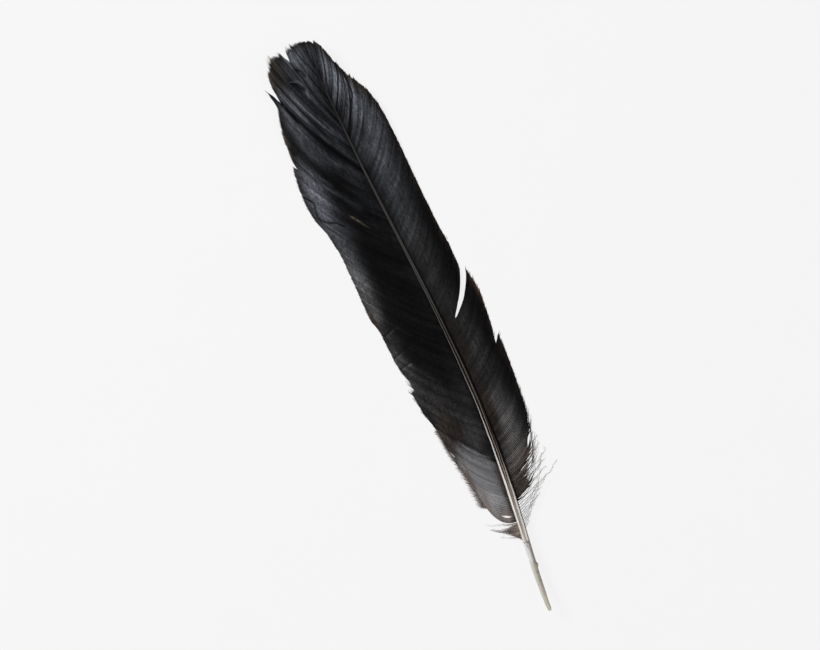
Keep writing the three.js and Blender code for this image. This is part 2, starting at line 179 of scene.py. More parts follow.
def new_mesh(name, points, faces, uv=None, tone=None):
    """A mesh object from arrays: points in metres, lists of faces, UVs and colours per vertex."""
    mesh = bpy.data.meshes.new(name)
    mesh.vertices.add(len(points))
    mesh.vertices.foreach_set("co", np.asarray(points, np.float32).ravel())
    loops = np.concatenate([np.asarray(f, np.int32).ravel() for f in faces])
    sizes = np.concatenate([np.full(len(f), np.shape(f)[1], np.int32) for f in faces])
    mesh.loops.add(len(loops))
    mesh.loops.foreach_set("vertex_index", loops)
    mesh.polygons.add(len(sizes))
    mesh.polygons.foreach_set("loop_start", np.r_[0, np.cumsum(sizes)[:-1]].astype(np.int32))
    mesh.polygons.foreach_set("loop_total", sizes)
    mesh.update(calc_edges=True)
    mesh.validate()
    if uv is not None:
        layer = mesh.uv_layers.new(name="strand")
        layer.data.foreach_set("uv", np.asarray(uv, np.float32)[loops].ravel())
    if tone is not None:
        paint(mesh, tone)
    mesh.polygons.foreach_set("use_smooth", np.ones(len(sizes), bool))
    obj = bpy.data.objects.new(name, mesh)
    bpy.context.scene.collection.objects.link(obj)
    return obj


def ring_faces(strands, stations, sides):
    """Quads and end caps for strands of rings, numbered strand by strand."""
    base = (np.arange(strands) * stations * sides)[:, None, None]
    a = base + (np.arange(stations - 1) * sides)[None, :, None] + np.arange(sides)
    b = base + (np.arange(stations - 1) * sides)[None, :, None] + (np.arange(sides) + 1) % sides
    quads = np.stack([a, b, b + sides, a + sides], -1).reshape(-1, 4)
    start = base[:, 0] + np.arange(sides)[::-1]
    return [quads, start, start[:, ::-1] + (stations - 1) * sides]


def ready(obj, slot, *nodes):
    """Gives a piece its finish, its body and the CAD nodes it stands for."""
    obj.data.materials.append(MATERIALS[slot])
    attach(obj, "root")
    if nodes:
        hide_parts(*nodes)


# ---------------- materials

class Nodes:
    """A material's node tree, built by short calls."""

    def __init__(self, name):
        self.material = bpy.data.materials.new(name)
        self.material.use_nodes = True
        self.tree = self.material.node_tree
        self.tree.nodes.clear()
        self.out = self.tree.nodes.new("ShaderNodeOutputMaterial")

    def add(self, kind, inputs, **settings):
        node = self.tree.nodes.new("ShaderNode" + kind)
        for key, value in settings.items():
            setattr(node, key, value)
        for key, value in inputs.items():
            if isinstance(value, bpy.types.NodeSocket):
                self.tree.links.new(value, node.inputs[key])
            else:
                node.inputs[key].default_value = value
        return node

    def stored(self):
        return self.add("Attribute", {}, attribute_name="tone").outputs

    def place(self):
        return self.add("TexCoord", {}).outputs["Object"]

    def strand(self):
        return self.add("UVMap", {}, uv_map="strand").outputs["UV"]

    def math(self, operation, a, b, c=0.0):
        return self.add("Math", {0: a, 1: b, 2: c}, operation=operation).outputs[0]

    def mapped(self, source, scale, turn=0.0):
        turned = {"Vector": source, "Scale": scale, "Rotation": (0, 0, turn)}
        return self.add("Mapping", turned).outputs[0]

    def noise(self, vector, scale, detail=2.0, roughness=0.5):
        inputs = {"Vector": vector, "Scale": scale, "Detail": detail, "Roughness": roughness}
        return self.add("TexNoise", inputs).outputs["Fac"]

    def remap(self, value, low, high, to_low, to_high):
        inputs = {"Value": value, "From Min": low, "From Max": high, "To Min": to_low, "To Max": to_high}
        return self.add("MapRange", inputs).outputs[0]

    def vary(self, noise, low, high):
        """A noise's usual range, spread from low to high."""
        return self.remap(noise, 0.3, 0.7, low, high)

    def times(self, colour, factor):
        return self.add("VectorMath", {0: colour, "Scale": factor}, operation="SCALE").outputs[0]

    def blend(self, factor, a, b):
        return self.add("Mix", {"Factor": factor, "A": a, "B": b}, data_type="RGBA").outputs["Result"]

    def bump(self, height, strength, distance):
        inputs = {"Height": height, "Strength": strength, "Distance": distance}
        return self.add("Bump", inputs).outputs[0]

    def surface(self, shader):
        self.tree.links.new(shader.outputs[0], self.out.inputs["Surface"])
        return self.material


def vane_material():
    n = Nodes("barb_keratin")
    stored, place, strand = n.stored(), n.place(), n.strand()
    mottle = n.noise(place, 1100.0, 5.0, 0.72)
    fleck = n.noise(n.mapped(strand, (1.4, 3.0, 1.0)), 1.0, 3.0, 0.6)
    hatch = n.noise(n.mapped(place, (220.0, 1500.0, 1.0), math.radians(-17)), 1.0)
    factor = n.math("MULTIPLY", n.vary(mottle, 0.5, 1.5), n.vary(fleck, 0.6, 1.4))
    factor = n.math("MULTIPLY", factor, n.remap(hatch, 0.35, 0.65, 0.78, 1.22))
    factor = n.math("MULTIPLY_ADD", n.math("SUBTRACT", factor, 1.0), stored["Alpha"], 1.0)
    waves = {"Vector": n.mapped(strand, (9.0, 5.0, 1.0)), "Scale": 1.0, "Distortion": 1.5, "Detail": 1.0}
    barbules = n.add("TexWave", waves, wave_type="BANDS", bands_direction="DIAGONAL").outputs["Fac"]
    height = n.math("MULTIPLY_ADD", barbules, 0.5, mottle)
    return n.surface(n.add("BsdfPrincipled", {
        "Base Color": n.times(stored["Color"], factor),
        "Roughness": n.remap(fleck, 0.2, 0.8, 0.4, 0.58),
        "Specular IOR Level": 0.09,
        "Sheen Weight": 0.02,
        "Sheen Roughness": 0.5,
        "Sheen Tint": (0.75, 0.84, 1.0, 1.0),
        "Normal": n.bump(height, 0.35, 0.00006),
    }))


def shaft_material():
    n = Nodes("shaft_horn")
    strand = n.strand()
    streak = n.noise(n.mapped(strand, (0.12, 9.0, 1.0)), 1.0, 4.0, 0.6)
    fine = n.noise(n.mapped(strand, (1.2, 22.0, 1.0)), 1.0)
    factor = n.math("MULTIPLY", n.vary(streak, 0.72, 1.25), n.vary(fine, 0.85, 1.12))
    return n.surface(n.add("BsdfPrincipled", {
        "Base Color": n.times(n.stored()["Color"], factor),
        "Roughness": n.remap(fine, 0.2, 0.8, 0.32, 0.5),
        "Specular IOR Level": 0.25,
        "Subsurface Weight": 0.03,
        "Subsurface Radius": (0.6, 0.45, 0.3),
        "Subsurface Scale": 0.001,
        "Normal": n.bump(streak, 0.4, 0.00008),
    }))


def barrel_material():
    n = Nodes("barrel_horn")
    place = n.place()
    grain = n.noise(n.mapped(place, (160.0, 2600.0, 200.0), math.radians(-5)), 1.0, 3.0, 0.55)
    patches = n.noise(place, 420.0, 3.0, 0.6)
    factor = n.math("MULTIPLY", n.vary(grain, 0.98, 1.02), n.vary(patches, 0.95, 1.03))
    return n.surface(n.add("BsdfPrincipled", {
        "Base Color": n.times(n.stored()["Color"], factor),
        "Roughness": n.remap(patches, 0.2, 0.8, 0.26, 0.42),
        "Specular IOR Level": 0.5,
        "Subsurface Weight": 0.15,
        "Subsurface Radius": (1.0, 0.85, 0.65),
        "Subsurface Scale": 0.0012,
        "Normal": n.bump(grain, 0.03, 0.00004),
    }))


def down_material():
    n = Nodes("down_keratin")
    colour = n.times(n.stored()["Color"], n.vary(n.noise(n.place(), 700.0, 3.0, 0.6), 0.7, 1.3))
    solid = n.add("BsdfPrincipled", {"Base Color": colour, "Roughness": 0.6, "Specular IOR Level": 0.3})
    lit_through = n.add("BsdfTranslucent", {"Color": colour})
    return n.surface(n.add("MixShader", {0: 0.4, 1: solid.outputs[0], 2: lit_through.outputs[0]}))


def foam_material(name, pale, dark):
    n = Nodes(name)
    place = n.place()
    cells = n.add("TexVoronoi", {"Vector": place, "Scale": 5200.0}).outputs["Distance"]
    return n.surface(n.add("BsdfPrincipled", {
        "Base Color": n.blend(n.vary(n.noise(place, 900.0, 3.0, 0.6), 0.0, 1.0), dark, pale),
        "Roughness": n.remap(cells, 0.0, 0.6, 0.75, 0.95),
        "Normal": n.bump(cells, 0.5, 0.00005),
    }))


FLOOR_GLOW = 0.85


def floor_material():
    """Grey paper that also glows, so that it stays an even near-white with a weak shadow."""
    n = Nodes("studio_paper")
    patches = n.vary(n.noise(n.place(), 60.0), 0.0, 1.0)
    colour = n.blend(patches, (0.08, 0.08, 0.08, 1), (0.083, 0.083, 0.083, 1))
    matt = n.add("BsdfDiffuse", {"Color": colour})
    glow = n.add("Emission", {"Color": (1, 1, 1, 1), "Strength": FLOOR_GLOW})
    return n.surface(n.add("AddShader", {0: matt.outputs[0], 1: glow.outputs[0]}))


# ---------------- vanes

# Guides are barbs, as [root, tip x, tip y, root angle]. The tips follow each tract's edge.
TRACTS = {
    LEFT: {
        "vane_left_base": [
            [30.3, 36.6, 4.6, 86], [30.9, 40, 5.3, 84], [32.2, 44.5, 5.9, 78], [34, 49.4, 6.7, 68],
            [37, 53.8, 7.6, 60], [40, 58, 8.7, 55], [44, 63.5, 9.5, 50], [47.5, 68.5, 10.1, 47],
            [50.3, 72.2, 11.1, 45],
        ],
        "vane_left_lower": [
            [50.9, 72.9, 11.3, 45], [53, 75, 11.9, 45], [57, 80, 12.4, 45], [60.6, 83.3, 13, 46],
            [61.6, 84, 12.3, 46], [62.5, 84.9, 12.2, 46],
        ],
        "vane_left_middle": [
            [63.1, 85.3, 12.8, 46], [64.4, 87, 12.2, 46], [67, 90, 12.9, 46], [70, 93.5, 13.3, 46],
            [74, 98, 13.5, 46], [79, 104, 13.65, 46], [82.5, 108, 14.8, 46], [86, 112.5, 15.05, 46],
            [104, 132, 15.1, 46], [110, 140, 16.4, 46], [114, 145.5, 18.3, 46], [119, 152, 19, 46],
            [124, 157, 18.8, 46], [128, 161, 18.3, 46], [131.8, 164.4, 17.5, 45],
        ],
        "vane_left_upper": [
            [132.3, 165.1, 17.1, 45], [136, 169.5, 16.9, 45], [141, 175, 16.6, 44], [145, 179, 15.6, 42],
            [148, 182, 14.7, 39], [149.6, 184.4, 14.4, 38], [151, 186.6, 14.7, 37.5],
            [152.2, 188.4, 14.8, 37.5], [153.4, 190.2, 14.4, 37.5],
        ],
        "vane_left_shoulder": [
            [153.9, 187.5, 13.1, 37.5], [156.2, 190, 13.5, 37], [158.6, 193, 13.2, 36],
            [160.6, 195.2, 12.6, 34], [163, 197.4, 11.4, 31], [165.4, 198.7, 10.2, 27.5],
            [167.6, 199.2, 8.2, 23], [170.1, 199.3, 5.9, 18.5],
        ],
        "vane_left_tip": [
            [170.6, 198.9, 5.4, 18], [172.6, 199.2, 4.6, 18], [176, 199.5, 3.2, 18.5],
            [182, 199.6, 1.6, 17], [191.4, 199.5, 0, 4],
        ],
    },
    RIGHT: {
        "vane_right_base": [
            [36.2, 40.6, -12.6, 76], [37.6, 42.9, -14.6, 76], [39.6, 46, -16.6, 77],
            [41, 48.4, -17.4, 78], [42.6, 51, -18.2, 79], [45, 55, -19, 80], [48, 59.5, -19.9, 79],
            [52.5, 66, -20.5, 76], [58, 72, -20.9, 72], [64, 79, -21.3, 67], [69, 84.4, -21.6, 62],
            [72.2, 87, -21.5, 59], [74.2, 88.6, -21.5, 57],
        ],
        "vane_right_middle": [
            [74.8, 86.2, -19.9, 57], [76.5, 88.6, -20.5, 57], [79, 93, -20.8, 57], [83, 99, -21.3, 57],
            [86.5, 103.6, -21.7, 57], [90.2, 108.4, -20.9, 55], [94.4, 112.4, -19.7, 51],
        ],
        "vane_right_upper": [
            [94.9, 113.2, -19.3, 51], [98, 117.5, -18.7, 52], [103, 122, -18.7, 52], [108, 127, -18.05, 51],
            [113, 132, -17.75, 50], [125, 143, -17.4, 50], [140, 157, -17.15, 50], [150, 167, -16.7, 50],
            [154.5, 172, -16.1, 49], [158, 177, -14.7, 47], [160.5, 180, -13.1, 45],
            [162.6, 182.8, -11.9, 41], [165, 185.6, -10.2, 37],
        ],
        "vane_right_shoulder": [
            [165.5, 186.3, -9.7, 36.5], [169.5, 187.8, -9.3, 38], [173.9, 189.2, -8.9, 39.5],
        ],
        "vane_right_notch": [
            [174.4, 189.3, -8.5, 39.5], [177, 191.9, -7.9, 37], [180.6, 195.2, -6.8, 33.5],
        ],
        "vane_right_tip": [
            [181.1, 196, -6.4, 33], [183.6, 198, -5.2, 29], [186.4, 198.8, -3.2, 22],
            [189, 199, -1.7, 12], [191.4, 199.4, -0.5, 3],
        ],
    },
}

# Where a vane has come apart: the root between the barbs that part, the gap's middle line as
# (x, y, half width), how far into the vane on either side the barbs give way, and how much more the barbs
# nearer the nib give way than the others.
GAPS = {
    LEFT: [
        (31.75, [(31.2, -1.4, 0), (31.9, -0.5, 0.12), (32.7, 0.5, 0.19), (33.5, 1.5, 0.12),
         (34.2, 2.3, 0)], 0.9, 0),
        (40.2, [(53.2, 6.2, 0), (54.6, 7, 0.4), (56.6, 8, 0.6), (58.6, 8.9, 0.6)], 0.7, 0),
        (132.05, [(162.6, 16, 0), (164.8, 17.4, 0.26)], 0.8, 0),
        (153.65, [(184.2, 12.75, 0), (186.4, 13.4, 0.3), (188.3, 13.9, 0.62),
         (190.4, 14.4, 0.9)], 1.1, 0.7),
        (170.35, [(193.9, 4.75, 0), (196.3, 5.1, 0.5), (198.5, 5.4, 1), (200, 5.6, 1.2)], 1.6, 0),
    ],
    RIGHT: [
        (39.4, [(38.6, -6.1, 0), (39.6, -8, 0.2), (40.6, -10, 0.15), (41.5, -11.5, 0)], 0.7, 0),
        (42.9, [(44, -8.6, 0), (45.2, -10.8, 0.2), (46.3, -12.6, 0.3), (47.5, -14.5, 0.3)], 0.7, 0),
        (74.5, [(83.6, -17.6, 0), (84.9, -18.9, 0.12), (86.6, -20.2, 0.4), (88.8, -21.3, 0.6)], 1.3, 0),
        (94.65, [(97.6, -9.1, 0), (99, -10.55, 0.3), (100, -11.6, 0.42), (101.2, -13, 0.56),
         (103, -15.1, 0.74), (105, -16.8, 0.88), (107, -17.9, 0.95), (110, -18.9, 0.86),
         (112.5, -19.5, 0.75)], 2.4, 0),
        (102.9, [(120.6, -17.6, 0), (121.9, -18.4, 0.2)], 0.6, 0),
        (160.9, [(180, -12.2, 0), (181.6, -12.8, 0.15)], 0.7, 0),
    ],
}
SPACING = through([[29, 0.62], [50, 0.58], [100, 0.5], [191, 0.44]])
STATIONS = 48

# How far the barbs have come unzipped, from the margin inwards: [root, share of the barb].
LOOSE = {
    LEFT: through([
        [29, 0.04], [32.5, 0.05], [34, 0.11], [42, 0.12], [50, 0.08], [56, 0.05], [60, 0.08], [62.5, 0.13],
        [65, 0.1], [67, 0.03], [120, 0.015], [150, 0.02], [155, 0.02], [159, 0.025], [162, 0.03],
        [168, 0.035], [172, 0.03], [191, 0.035],
    ]),
    RIGHT: through([
        [36, 0.96], [38, 0.86], [39.5, 0.76], [41, 0.62], [45, 0.4], [50, 0.22], [56, 0.1], [64, 0.045],
        [70, 0.05], [74, 0.06], [80, 0.04], [92, 0.06], [97, 0.04], [110, 0.03], [150, 0.015], [165, 0.02],
        [181, 0.025], [191, 0.02],
    ]),
}

# Folds in the vanes: plan line, half width, how much it sinks, and how much painted shade darkens it in the
# fold's hollow or along a split.
FOLDS_WITH_PAINTED_SHADE = [
    ([(54.6, 6.8), (48.9, 3.7), (42.3, -2.1)], 0.14, 0.06, 0.35),
    ([(50, -4.2), (52, -2), (57, 3), (63, 6), (70, 10)], 0.5, 0.3, 0.45),
    ([(153, -3), (158, 0), (165, 4.5), (172, 8), (184, 12.5)], 0.75, 0.5, 0.9),
    ([(158, 0.8), (165, 6), (172, 9.4), (182, 12.6)], 1.3, 0.2, 0.22),
    ([(137, -1), (140, 1), (149, 6.1), (156.7, 9.4), (163, 12.2), (170, 14.2),
     (178, 15.6)], 1.2, 0.5, 0.75),
    ([(146, -2), (152, 3.5), (160, 8), (170, 11)], 0.8, 0.2, 0.3),
    ([(90, 12.8), (91, 8)], 0.25, 0.15, 0.75), ([(94, 13.2), (95.3, 8.5), (98, 3.5)], 0.28, 0.2, 0.9),
    ([(101.7, 13), (104, 6.5)], 0.25, 0.15, 0.75), ([(119.3, 15), (121.5, 8)], 0.3, 0.1, 0.3),
    ([(126, 15), (127.5, 10.5)], 0.3, 0.1, 0.3), ([(133, 14.5), (134.3, 10.3)], 0.3, 0.1, 0.3),
    ([(139.5, 10.3), (141.5, 12), (143.2, 15.2), (145, 16.6), (147.5, 16.6), (150.5, 16), (152.5, 17.5),
     (154, 19)], 0.3, 0.35, 0.96),
    ([(164.6, -2.8), (166, -3.6), (170.2, -5.8), (174.5, -8.05), (177.5, -9.7), (181.8, -9.9),
     (186, -9.7)], 0.26, 0.3, 0.96),
    ([(174, -2.6), (174.8, -2.95), (179.4, -5.5), (185.3, -8.2), (189, -8.7)], 0.3, 0.25, 0.98),
    ([(181.5, -3), (184, -3.7), (189.5, -5.1), (195.2, -6.4)], 0.2, 0.2, 0.9),
    ([(184.5, -2.4), (187.8, -2.9), (194.1, -4.5), (198, -5.1)], 0.16, 0.15, 0.7),
    ([(189.6, -2.1), (194.1, -2.9), (199.3, -3.6)], 0.16, 0.15, 0.75),
    ([(186, -3.2), (191, -4.2), (196.6, -5.9)], 0.13, 0.1, 0.5),
    ([(170, -2.4), (176, -0.2), (184, 2.2), (190, 3.6), (194.3, 4.7)], 0.26, 0.2, 0.92),
    ([(186.5, -1.9), (191, -0.3), (195.5, 1.2), (199.5, 2)], 0.2, 0.15, 0.9),
    ([(168, 3.4), (176, 6.6), (184, 9.6), (190, 11.6)], 0.22, 0.12, 0.7),
    ([(177, 5.2), (184, 7.8), (191, 9.8)], 0.16, 0.1, 0.6), ([(180, 1.4), (187, 3)], 0.16, 0.1, 0.6),
    ([(150, 9.2), (156, 12.4), (161, 14.2)], 0.3, 0.1, 0.4),
    ([(159, -4.6), (164, -7.6), (169, -10)], 0.2, 0.1, 0.5), ([(176, 10.1), (184.5, 12.8)], 0.4, 0.4, 0.95),
    ([(184.6, 4.1), (186.4, 5.2), (188.2, 6.9)], 0.8, 0.5, 0.9),
    ([(188.3, 2), (190.4, 2.4), (191.6, 3.8)], 0.45, 0.3, 0.8),
    ([(172, 2.5), (180, 5.2), (190, 9.2), (196, 11)], 0.35, 0.15, 0.5),
    ([(164, 1.5), (174, 5.8), (186, 10.2), (192, 12.2)], 0.3, 0.12, 0.4),
]

# Painted highlights along ridges that catch the light: plan line, half width and strength.
PAINTED_GLINTS = [
    ([(162, 17), (156, 13.4), (152, 9.5), (148.7, 6.5), (143, 3)], 0.9, 0.032),
    ([(52.4, -2.4), (56.6, 2.6), (62.4, 5.2), (69, 9)], 0.3, 0.07),
    ([(171, 12.2), (164, 8.4), (158, 4)], 1, 0.022), ([(93.4, 13.4), (94.7, 9.2)], 0.28, 0.035),
    ([(101, 13), (103.4, 7.5)], 0.25, 0.03), ([(89.3, 12.8), (90.3, 8.2)], 0.28, 0.04),
    ([(153, 8.4), (160, 12.6), (166, 15)], 0.5, 0.03),
    ([(171, -6.8), (176, -9.6), (180, -10.4)], 0.35, 0.028), ([(183, -8), (188, -8.1)], 0.3, 0.033),
    ([(176, -4.4), (181, -6.9), (186, -7.4)], 0.3, 0.03), ([(187, -4), (193, -5)], 0.25, 0.03),
    ([(171, 3), (178, 6), (188, 9.4)], 0.3, 0.03), ([(166, 3.6), (174, 7.3), (182, 10.6)], 0.35, 0.03),
    ([(190, 0.6), (197, 2.6)], 0.5, 0.03),
    ([(181.5, 3.9), (185, 3.2), (187.6, 4.6), (188.9, 6.9)], 0.2, 0.05),
]

# Patches of painted grey sheen on the vane, and of painted shade where the strength is below zero: centre,
# reach along and across, strength.
PAINTED_SHEEN = [
    (60, 0, 6, 3, 0.022), (70, 3, 7, 4, 0.016), (76, 7, 9, 4, 0.022), (84, 11, 7, 2.5, 0.035),
    (96, 11.5, 6, 2, 0.02), (116, 13.5, 9, 2.2, 0.055), (126, 14, 8, 2.2, 0.06), (136, 13, 6, 2.6, 0.03),
    (147, 15, 9, 3, 0.075), (158, 14.5, 6, 3, 0.06), (172, 10.5, 8, 2.4, 0.045),
    (164, 7.5, 6, 2.4, 0.02), (186, 9, 8, 3, 0.04), (188, 3, 9, 3, 0.06), (172, 1, 14, 3, 0.024),
    (150, 0, 16, 3, 0.009), (194, -3, 6, 3.4, 0.06), (184, -6, 8, 3, 0.065), (174, -10.5, 10, 4.6, 0.042),
    (154, -9.5, 16, 3.6, 0.055), (164, -13.4, 15, 3, 0.045), (130, -8, 14, 3.4, 0.028),
    (108, -9, 10, 4, 0.012), (88, -13, 12, 3.4, 0.021), (63, -13, 9, 3.8, 0.055), (54, -12, 6, 4.5, 0.035),
    (48, -9.5, 7, 4, 0.036), (165, -5, 12, 2.5, 0.01), (121, 11.8, 10, 2.2, 0.052),
    (109.5, 12.2, 3, 1.6, 0.045), (149, 13.6, 6, 2.6, 0.055), (154, 16, 3, 1.6, 0.03),
    (137, 10.5, 6, 2.4, 0.016), (180, 12.3, 7, 1.5, 0.07), (176, 8.5, 6, 2.6, 0.024),
    (195, 3, 3, 3.2, 0.085), (40.5, 2.8, 4.5, 2.6, 0.15), (45, 5.2, 4, 1.4, 0.06), (60, 0.2, 8, 3.2, 0.017),
    (66, 6, 4, 1.6, 0.014), (49, -11.5, 7, 3.2, 0.05), (61, -12, 8, 3.4, 0.042), (129, -12, 12, 2.4, 0.012),
    (149, -11.5, 8, 3, 0.018), (94, 12.2, 5, 1.6, 0.02), (88, 9.6, 5, 1.6, 0.008),
    (104, 12.5, 5, 1.4, 0.008), (64, -2, 8, 3, 0.01), (76, -3.6, 10, 2.4, 0.01),
    (64.5, 6.4, 5, 1.8, 0.02), (60, -9.5, 9, 2.5, 0.008), (167, -15.2, 6, 1.6, 0.022),
    (175, 15, 4, 1.2, 0.03), (183.5, -9, 3.5, 1.4, 0.035), (183, 12, 4, 1.6, 0.012),
    (164.5, -8, 4, 1.8, -0.03), (183, -7.4, 5, 1.8, 0.05), (190, -4, 5, 2.4, 0.042),
    (189, 5.6, 3, 1.2, -0.02),
]

# Brown, worn patches: centre, reach along and across, colour.
WORN = [
    (193, 10.6, 5, 2.2, (0.034, 0.027, 0.022)), (198.8, 10.2, 1.2, 1.4, (0.18, 0.14, 0.105)),
    (199.3, 7.6, 0.8, 1.6, (0.13, 0.105, 0.085)), (196.2, 12.3, 1.8, 0.8, (0.12, 0.09, 0.07)),
    (200.3, 2.6, 0.8, 3.4, (0.1, 0.085, 0.07)), (200, -2.6, 0.8, 2.2, (0.08, 0.065, 0.05)),
    (106, -21.7, 6, 0.8, (0.15, 0.085, 0.05)), (200.2, 7.8, 0.9, 1.8, (0.16, 0.11, 0.08)),
    (66.5, 6.2, 6, 1.3, (0.03, 0.023, 0.018)), (64.5, 4.2, 3.6, 2.2, (0.026, 0.02, 0.0165)),
    (88, -8.8, 9, 1.8, (0.014, 0.0105, 0.008)), (66, -8.6, 9, 1.6, (0.024, 0.017, 0.013)),
    (174.6, 16.4, 3.4, 0.9, (0.085, 0.058, 0.043)), (170, 16.8, 6, 0.6, (0.035, 0.024, 0.018)),
    (104, 14, 7, 0.7, (0.045, 0.029, 0.021)), (38, 4.4, 5, 0.9, (0.25, 0.215, 0.2)),
    (33, 0.4, 2.6, 1.8, (0.24, 0.205, 0.19)), (47, 6.3, 7, 0.8, (0.19, 0.155, 0.14)),
    (61, 8.4, 7, 1.4, (0.045, 0.034, 0.028)), (37, -2.7, 10, 0.9, (0.06, 0.044, 0.035)),
    (42, -8, 4.5, 4, (0.115, 0.095, 0.085)), (46, -13.5, 5, 4, (0.12, 0.1, 0.09)),
]
BLACK = np.array([0.0024, 0.0024, 0.0026])
# Tints of the painted sheen: warm towards the nib, blue towards the tip.
SHEEN_BLUE, SHEEN_WARM = (0.92, 0.98, 1.12), (1.03, 0.995, 0.975)
PALE_GREY = np.array([1.0, 0.985, 1.03])
EDGE_BROWN = np.array([0.024, 0.0165, 0.0125])
STREAK_TAN = np.array([0.13, 0.11, 0.075])


def patch(x, y, cx, cy, along, across):
    """A soft oval patch: 1 in its centre, and fading out over its reach."""
    return np.exp(-(((x - cx) / along) ** 2) - ((y - cy) / across) ** 2)


def pale_base(x, y):
    """How pale the start of the left vane is, up to the crease that crosses it."""
    crease = (x - 51) * 0.592 - (y + 3) * 0.806
    pale = smooth(29, 33, x) * smooth(0.9, 3.2, y - shaft_side(x)) * (1 - 0.5 * smooth(54, 70, x))
    pale = pale * (1 - 0.7 * smooth(50, 63, x) * smooth(4, 8, y)) * (1 - 0.3 * smooth(-6, 0, crease))
    return 0.225 * pale * (1 - smooth(-0.9, 0.4, crease))


def worn_streak(x, y, shade):
    """A broken line across the left vane, where the barbs' tops are worn to tan."""
    streak, share = to_line([(134.5, 2), (141.5, 6.8)], x, y)
    broken = 0.55 + 0.45 * ripple(x * 1.3 + y, 0.5, 17)
    return np.exp(-((streak / 0.34) ** 2)) * smooth(0.0, 0.35, share) * broken * np.clip(shade, 0, 1.4)


def margins(side, x, t, tone, shade):
    """Brown margins on a vane's tone, with a lighter rim where the barbs end."""
    margin = smooth(0.74, 0.95, t) if side == RIGHT else smooth(0.93, 1.0, t) * smooth(52, 68, x)
    tone = tone * (1 - 0.8 * margin)[..., None] + EDGE_BROWN * (margin * shade)[..., None]
    rim = smooth(0.955, 1.0, t) * smooth(80, 110, x) * (1 - smooth(178, 190, x))
    return mix(tone, 2.2 * EDGE_BROWN, rim)


def vane_tone(side, x, y, t, shade):
    """Colour of the vane at a point, with painted sheen and highlights, painted shade in its folds and a
    painted shadow along the shaft, and as its fourth value how strongly the material mottles it.
    """
    grey = mix(SHEEN_WARM, SHEEN_BLUE, smooth(95, 150, x))
    # Painted light: the sheen patches and the highlights along ridges, in the sheen's tints.
    light = sum(strength * patch(x, y, *place) for *place, strength in PAINTED_SHEEN)
    light = light + sum(strength * stroke(x, y, line, width) for line, width, strength in PAINTED_GLINTS)
    tone = 1.3 * BLACK * (shade**1.5)[..., None] + grey * (light * shade)[..., None]
    if side == LEFT:
        tone = tone + PALE_GREY * (pale_base(x, y) * shade)[..., None]
    tone = margins(side, x, t, tone, shade)
    for *place, colour in WORN:
        tone = mix(tone, colour * shade[..., None], np.clip(1.4 * patch(x, y, *place), 0, 1))
    worn = worn_streak(x, y, shade)[..., None]
    tone = tone * (1 - np.clip(worn, 0, 1)) + STREAK_TAN * worn**1.4
    # Painted shade in the folds' hollows and along the splits.
    for line, width, _, dark in FOLDS_WITH_PAINTED_SHADE:
        tone = tone * (1 - dark * stroke(x, y, line, width))[..., None]
    # Painted shadow of the shaft on the vanes: strong on the right vane, away from the light, weak on the
    # left.
    reach = 0.9 if side == LEFT else 1.3 + 0.7 * smooth(100, 118, x) * (1 - smooth(165, 180, x))
    shaft_shadow = (0.2 if side == LEFT else 0.8) * np.exp(-np.abs(y - shaft_side(x)) / reach)
    tone = tone * (1 - shaft_shadow * smooth(30, 60, x))[..., None]
    calm = 0.85 * np.clip(1.3 * patch(x, y, 44, 3, 13, 6), 0, 1) + 0.6 * patch(x, y, 54, -12, 18, 8)
    return np.concatenate([tone, 1 - np.clip(calm, 0, 1)[..., None]], -1)


def relief(x, y):
    """Folds and slow waves in the vanes, in millimetres."""
    waves = 0.10 * np.sin(x / 5.3 + y / 3.1) * smooth(4, 12, np.abs(y - shaft_side(x)))
    return waves - sum(sink * stroke(x, y, line, width) for line, width, sink, _ in FOLDS_WITH_PAINTED_SHADE)


def bezier(p0, p1, p2, t):
    """A point of the bend from p0 to p2 that is pulled towards p1."""
    return (1 - t) ** 2 * p0 + 2 * t * (1 - t) * p1 + t * t * p2


def barb_lines(side, root, tip, angle, t):
    """Plan lines of many barbs: arrays (barb, station)."""
    sx, sy = root, shaft_side(root) + side * 0.32 * shaft_width(root)
    ex, ey = tip.T
    reach = BARB_BOW * np.hypot(ex - sx, ey - sy)
    turn = np.radians(angle)
    bx, by = sx + reach * np.cos(turn), sy + side * reach * np.sin(turn)
    x = bezier(sx[:, None], bx[:, None], ex[:, None], t)
    y = bezier(sy[:, None], by[:, None], ey[:, None], t)
    return x, y


def part(side, root, x, y):
    """Pushes barbs apart along the gaps of one vane."""
    for split, line, give, lean in GAPS[side]:
        line = np.array(line, float)
        d, share = to_line(line[:, :2], x, y)
        run = np.r_[0, np.cumsum(np.linalg.norm(np.diff(line[:, :2], axis=0), axis=1))]
        wide = np.interp(share * run[-1], run, line[:, 2])
        heading = np.arctan2(np.gradient(line[:, 1], run), np.gradient(line[:, 0], run))
        aim = np.interp(share * run[-1], run, heading)
        way = np.where(root < split, 1 + lean, lean - 1)[:, None] * side
        push = way * wide * np.exp(-d / give)
        x, y = x - np.sin(aim) * push, y + np.cos(aim) * push
    return x, y


# A barb's section: share of its half width, and height in mm. The ramus stands up in the middle, and its
# webs of barbules lie over the next barb on one side and under the last on the other.
SECTION = np.array([
    [-1.0, 0.035], [-0.45, 0.02], [-0.16, 0.03], [0.0, 0.105], [0.16, 0.03], [0.45, 0.0], [1.0, -0.03],
    [0.7, -0.06], [0.0, -0.11], [-0.7, -0.02],
])


# How light a barb is across its width: a painted highlight on the raised ramus, painted shade on the webs at
# its sides.
RAMUS_PAINTED_LIGHT = np.array([
    [-1.0, -0.55], [-0.45, -0.3], [-0.16, 0.25], [0.0, 0.7], [0.16, 0.6], [0.45, 0.1], [1.0, -0.3],
])

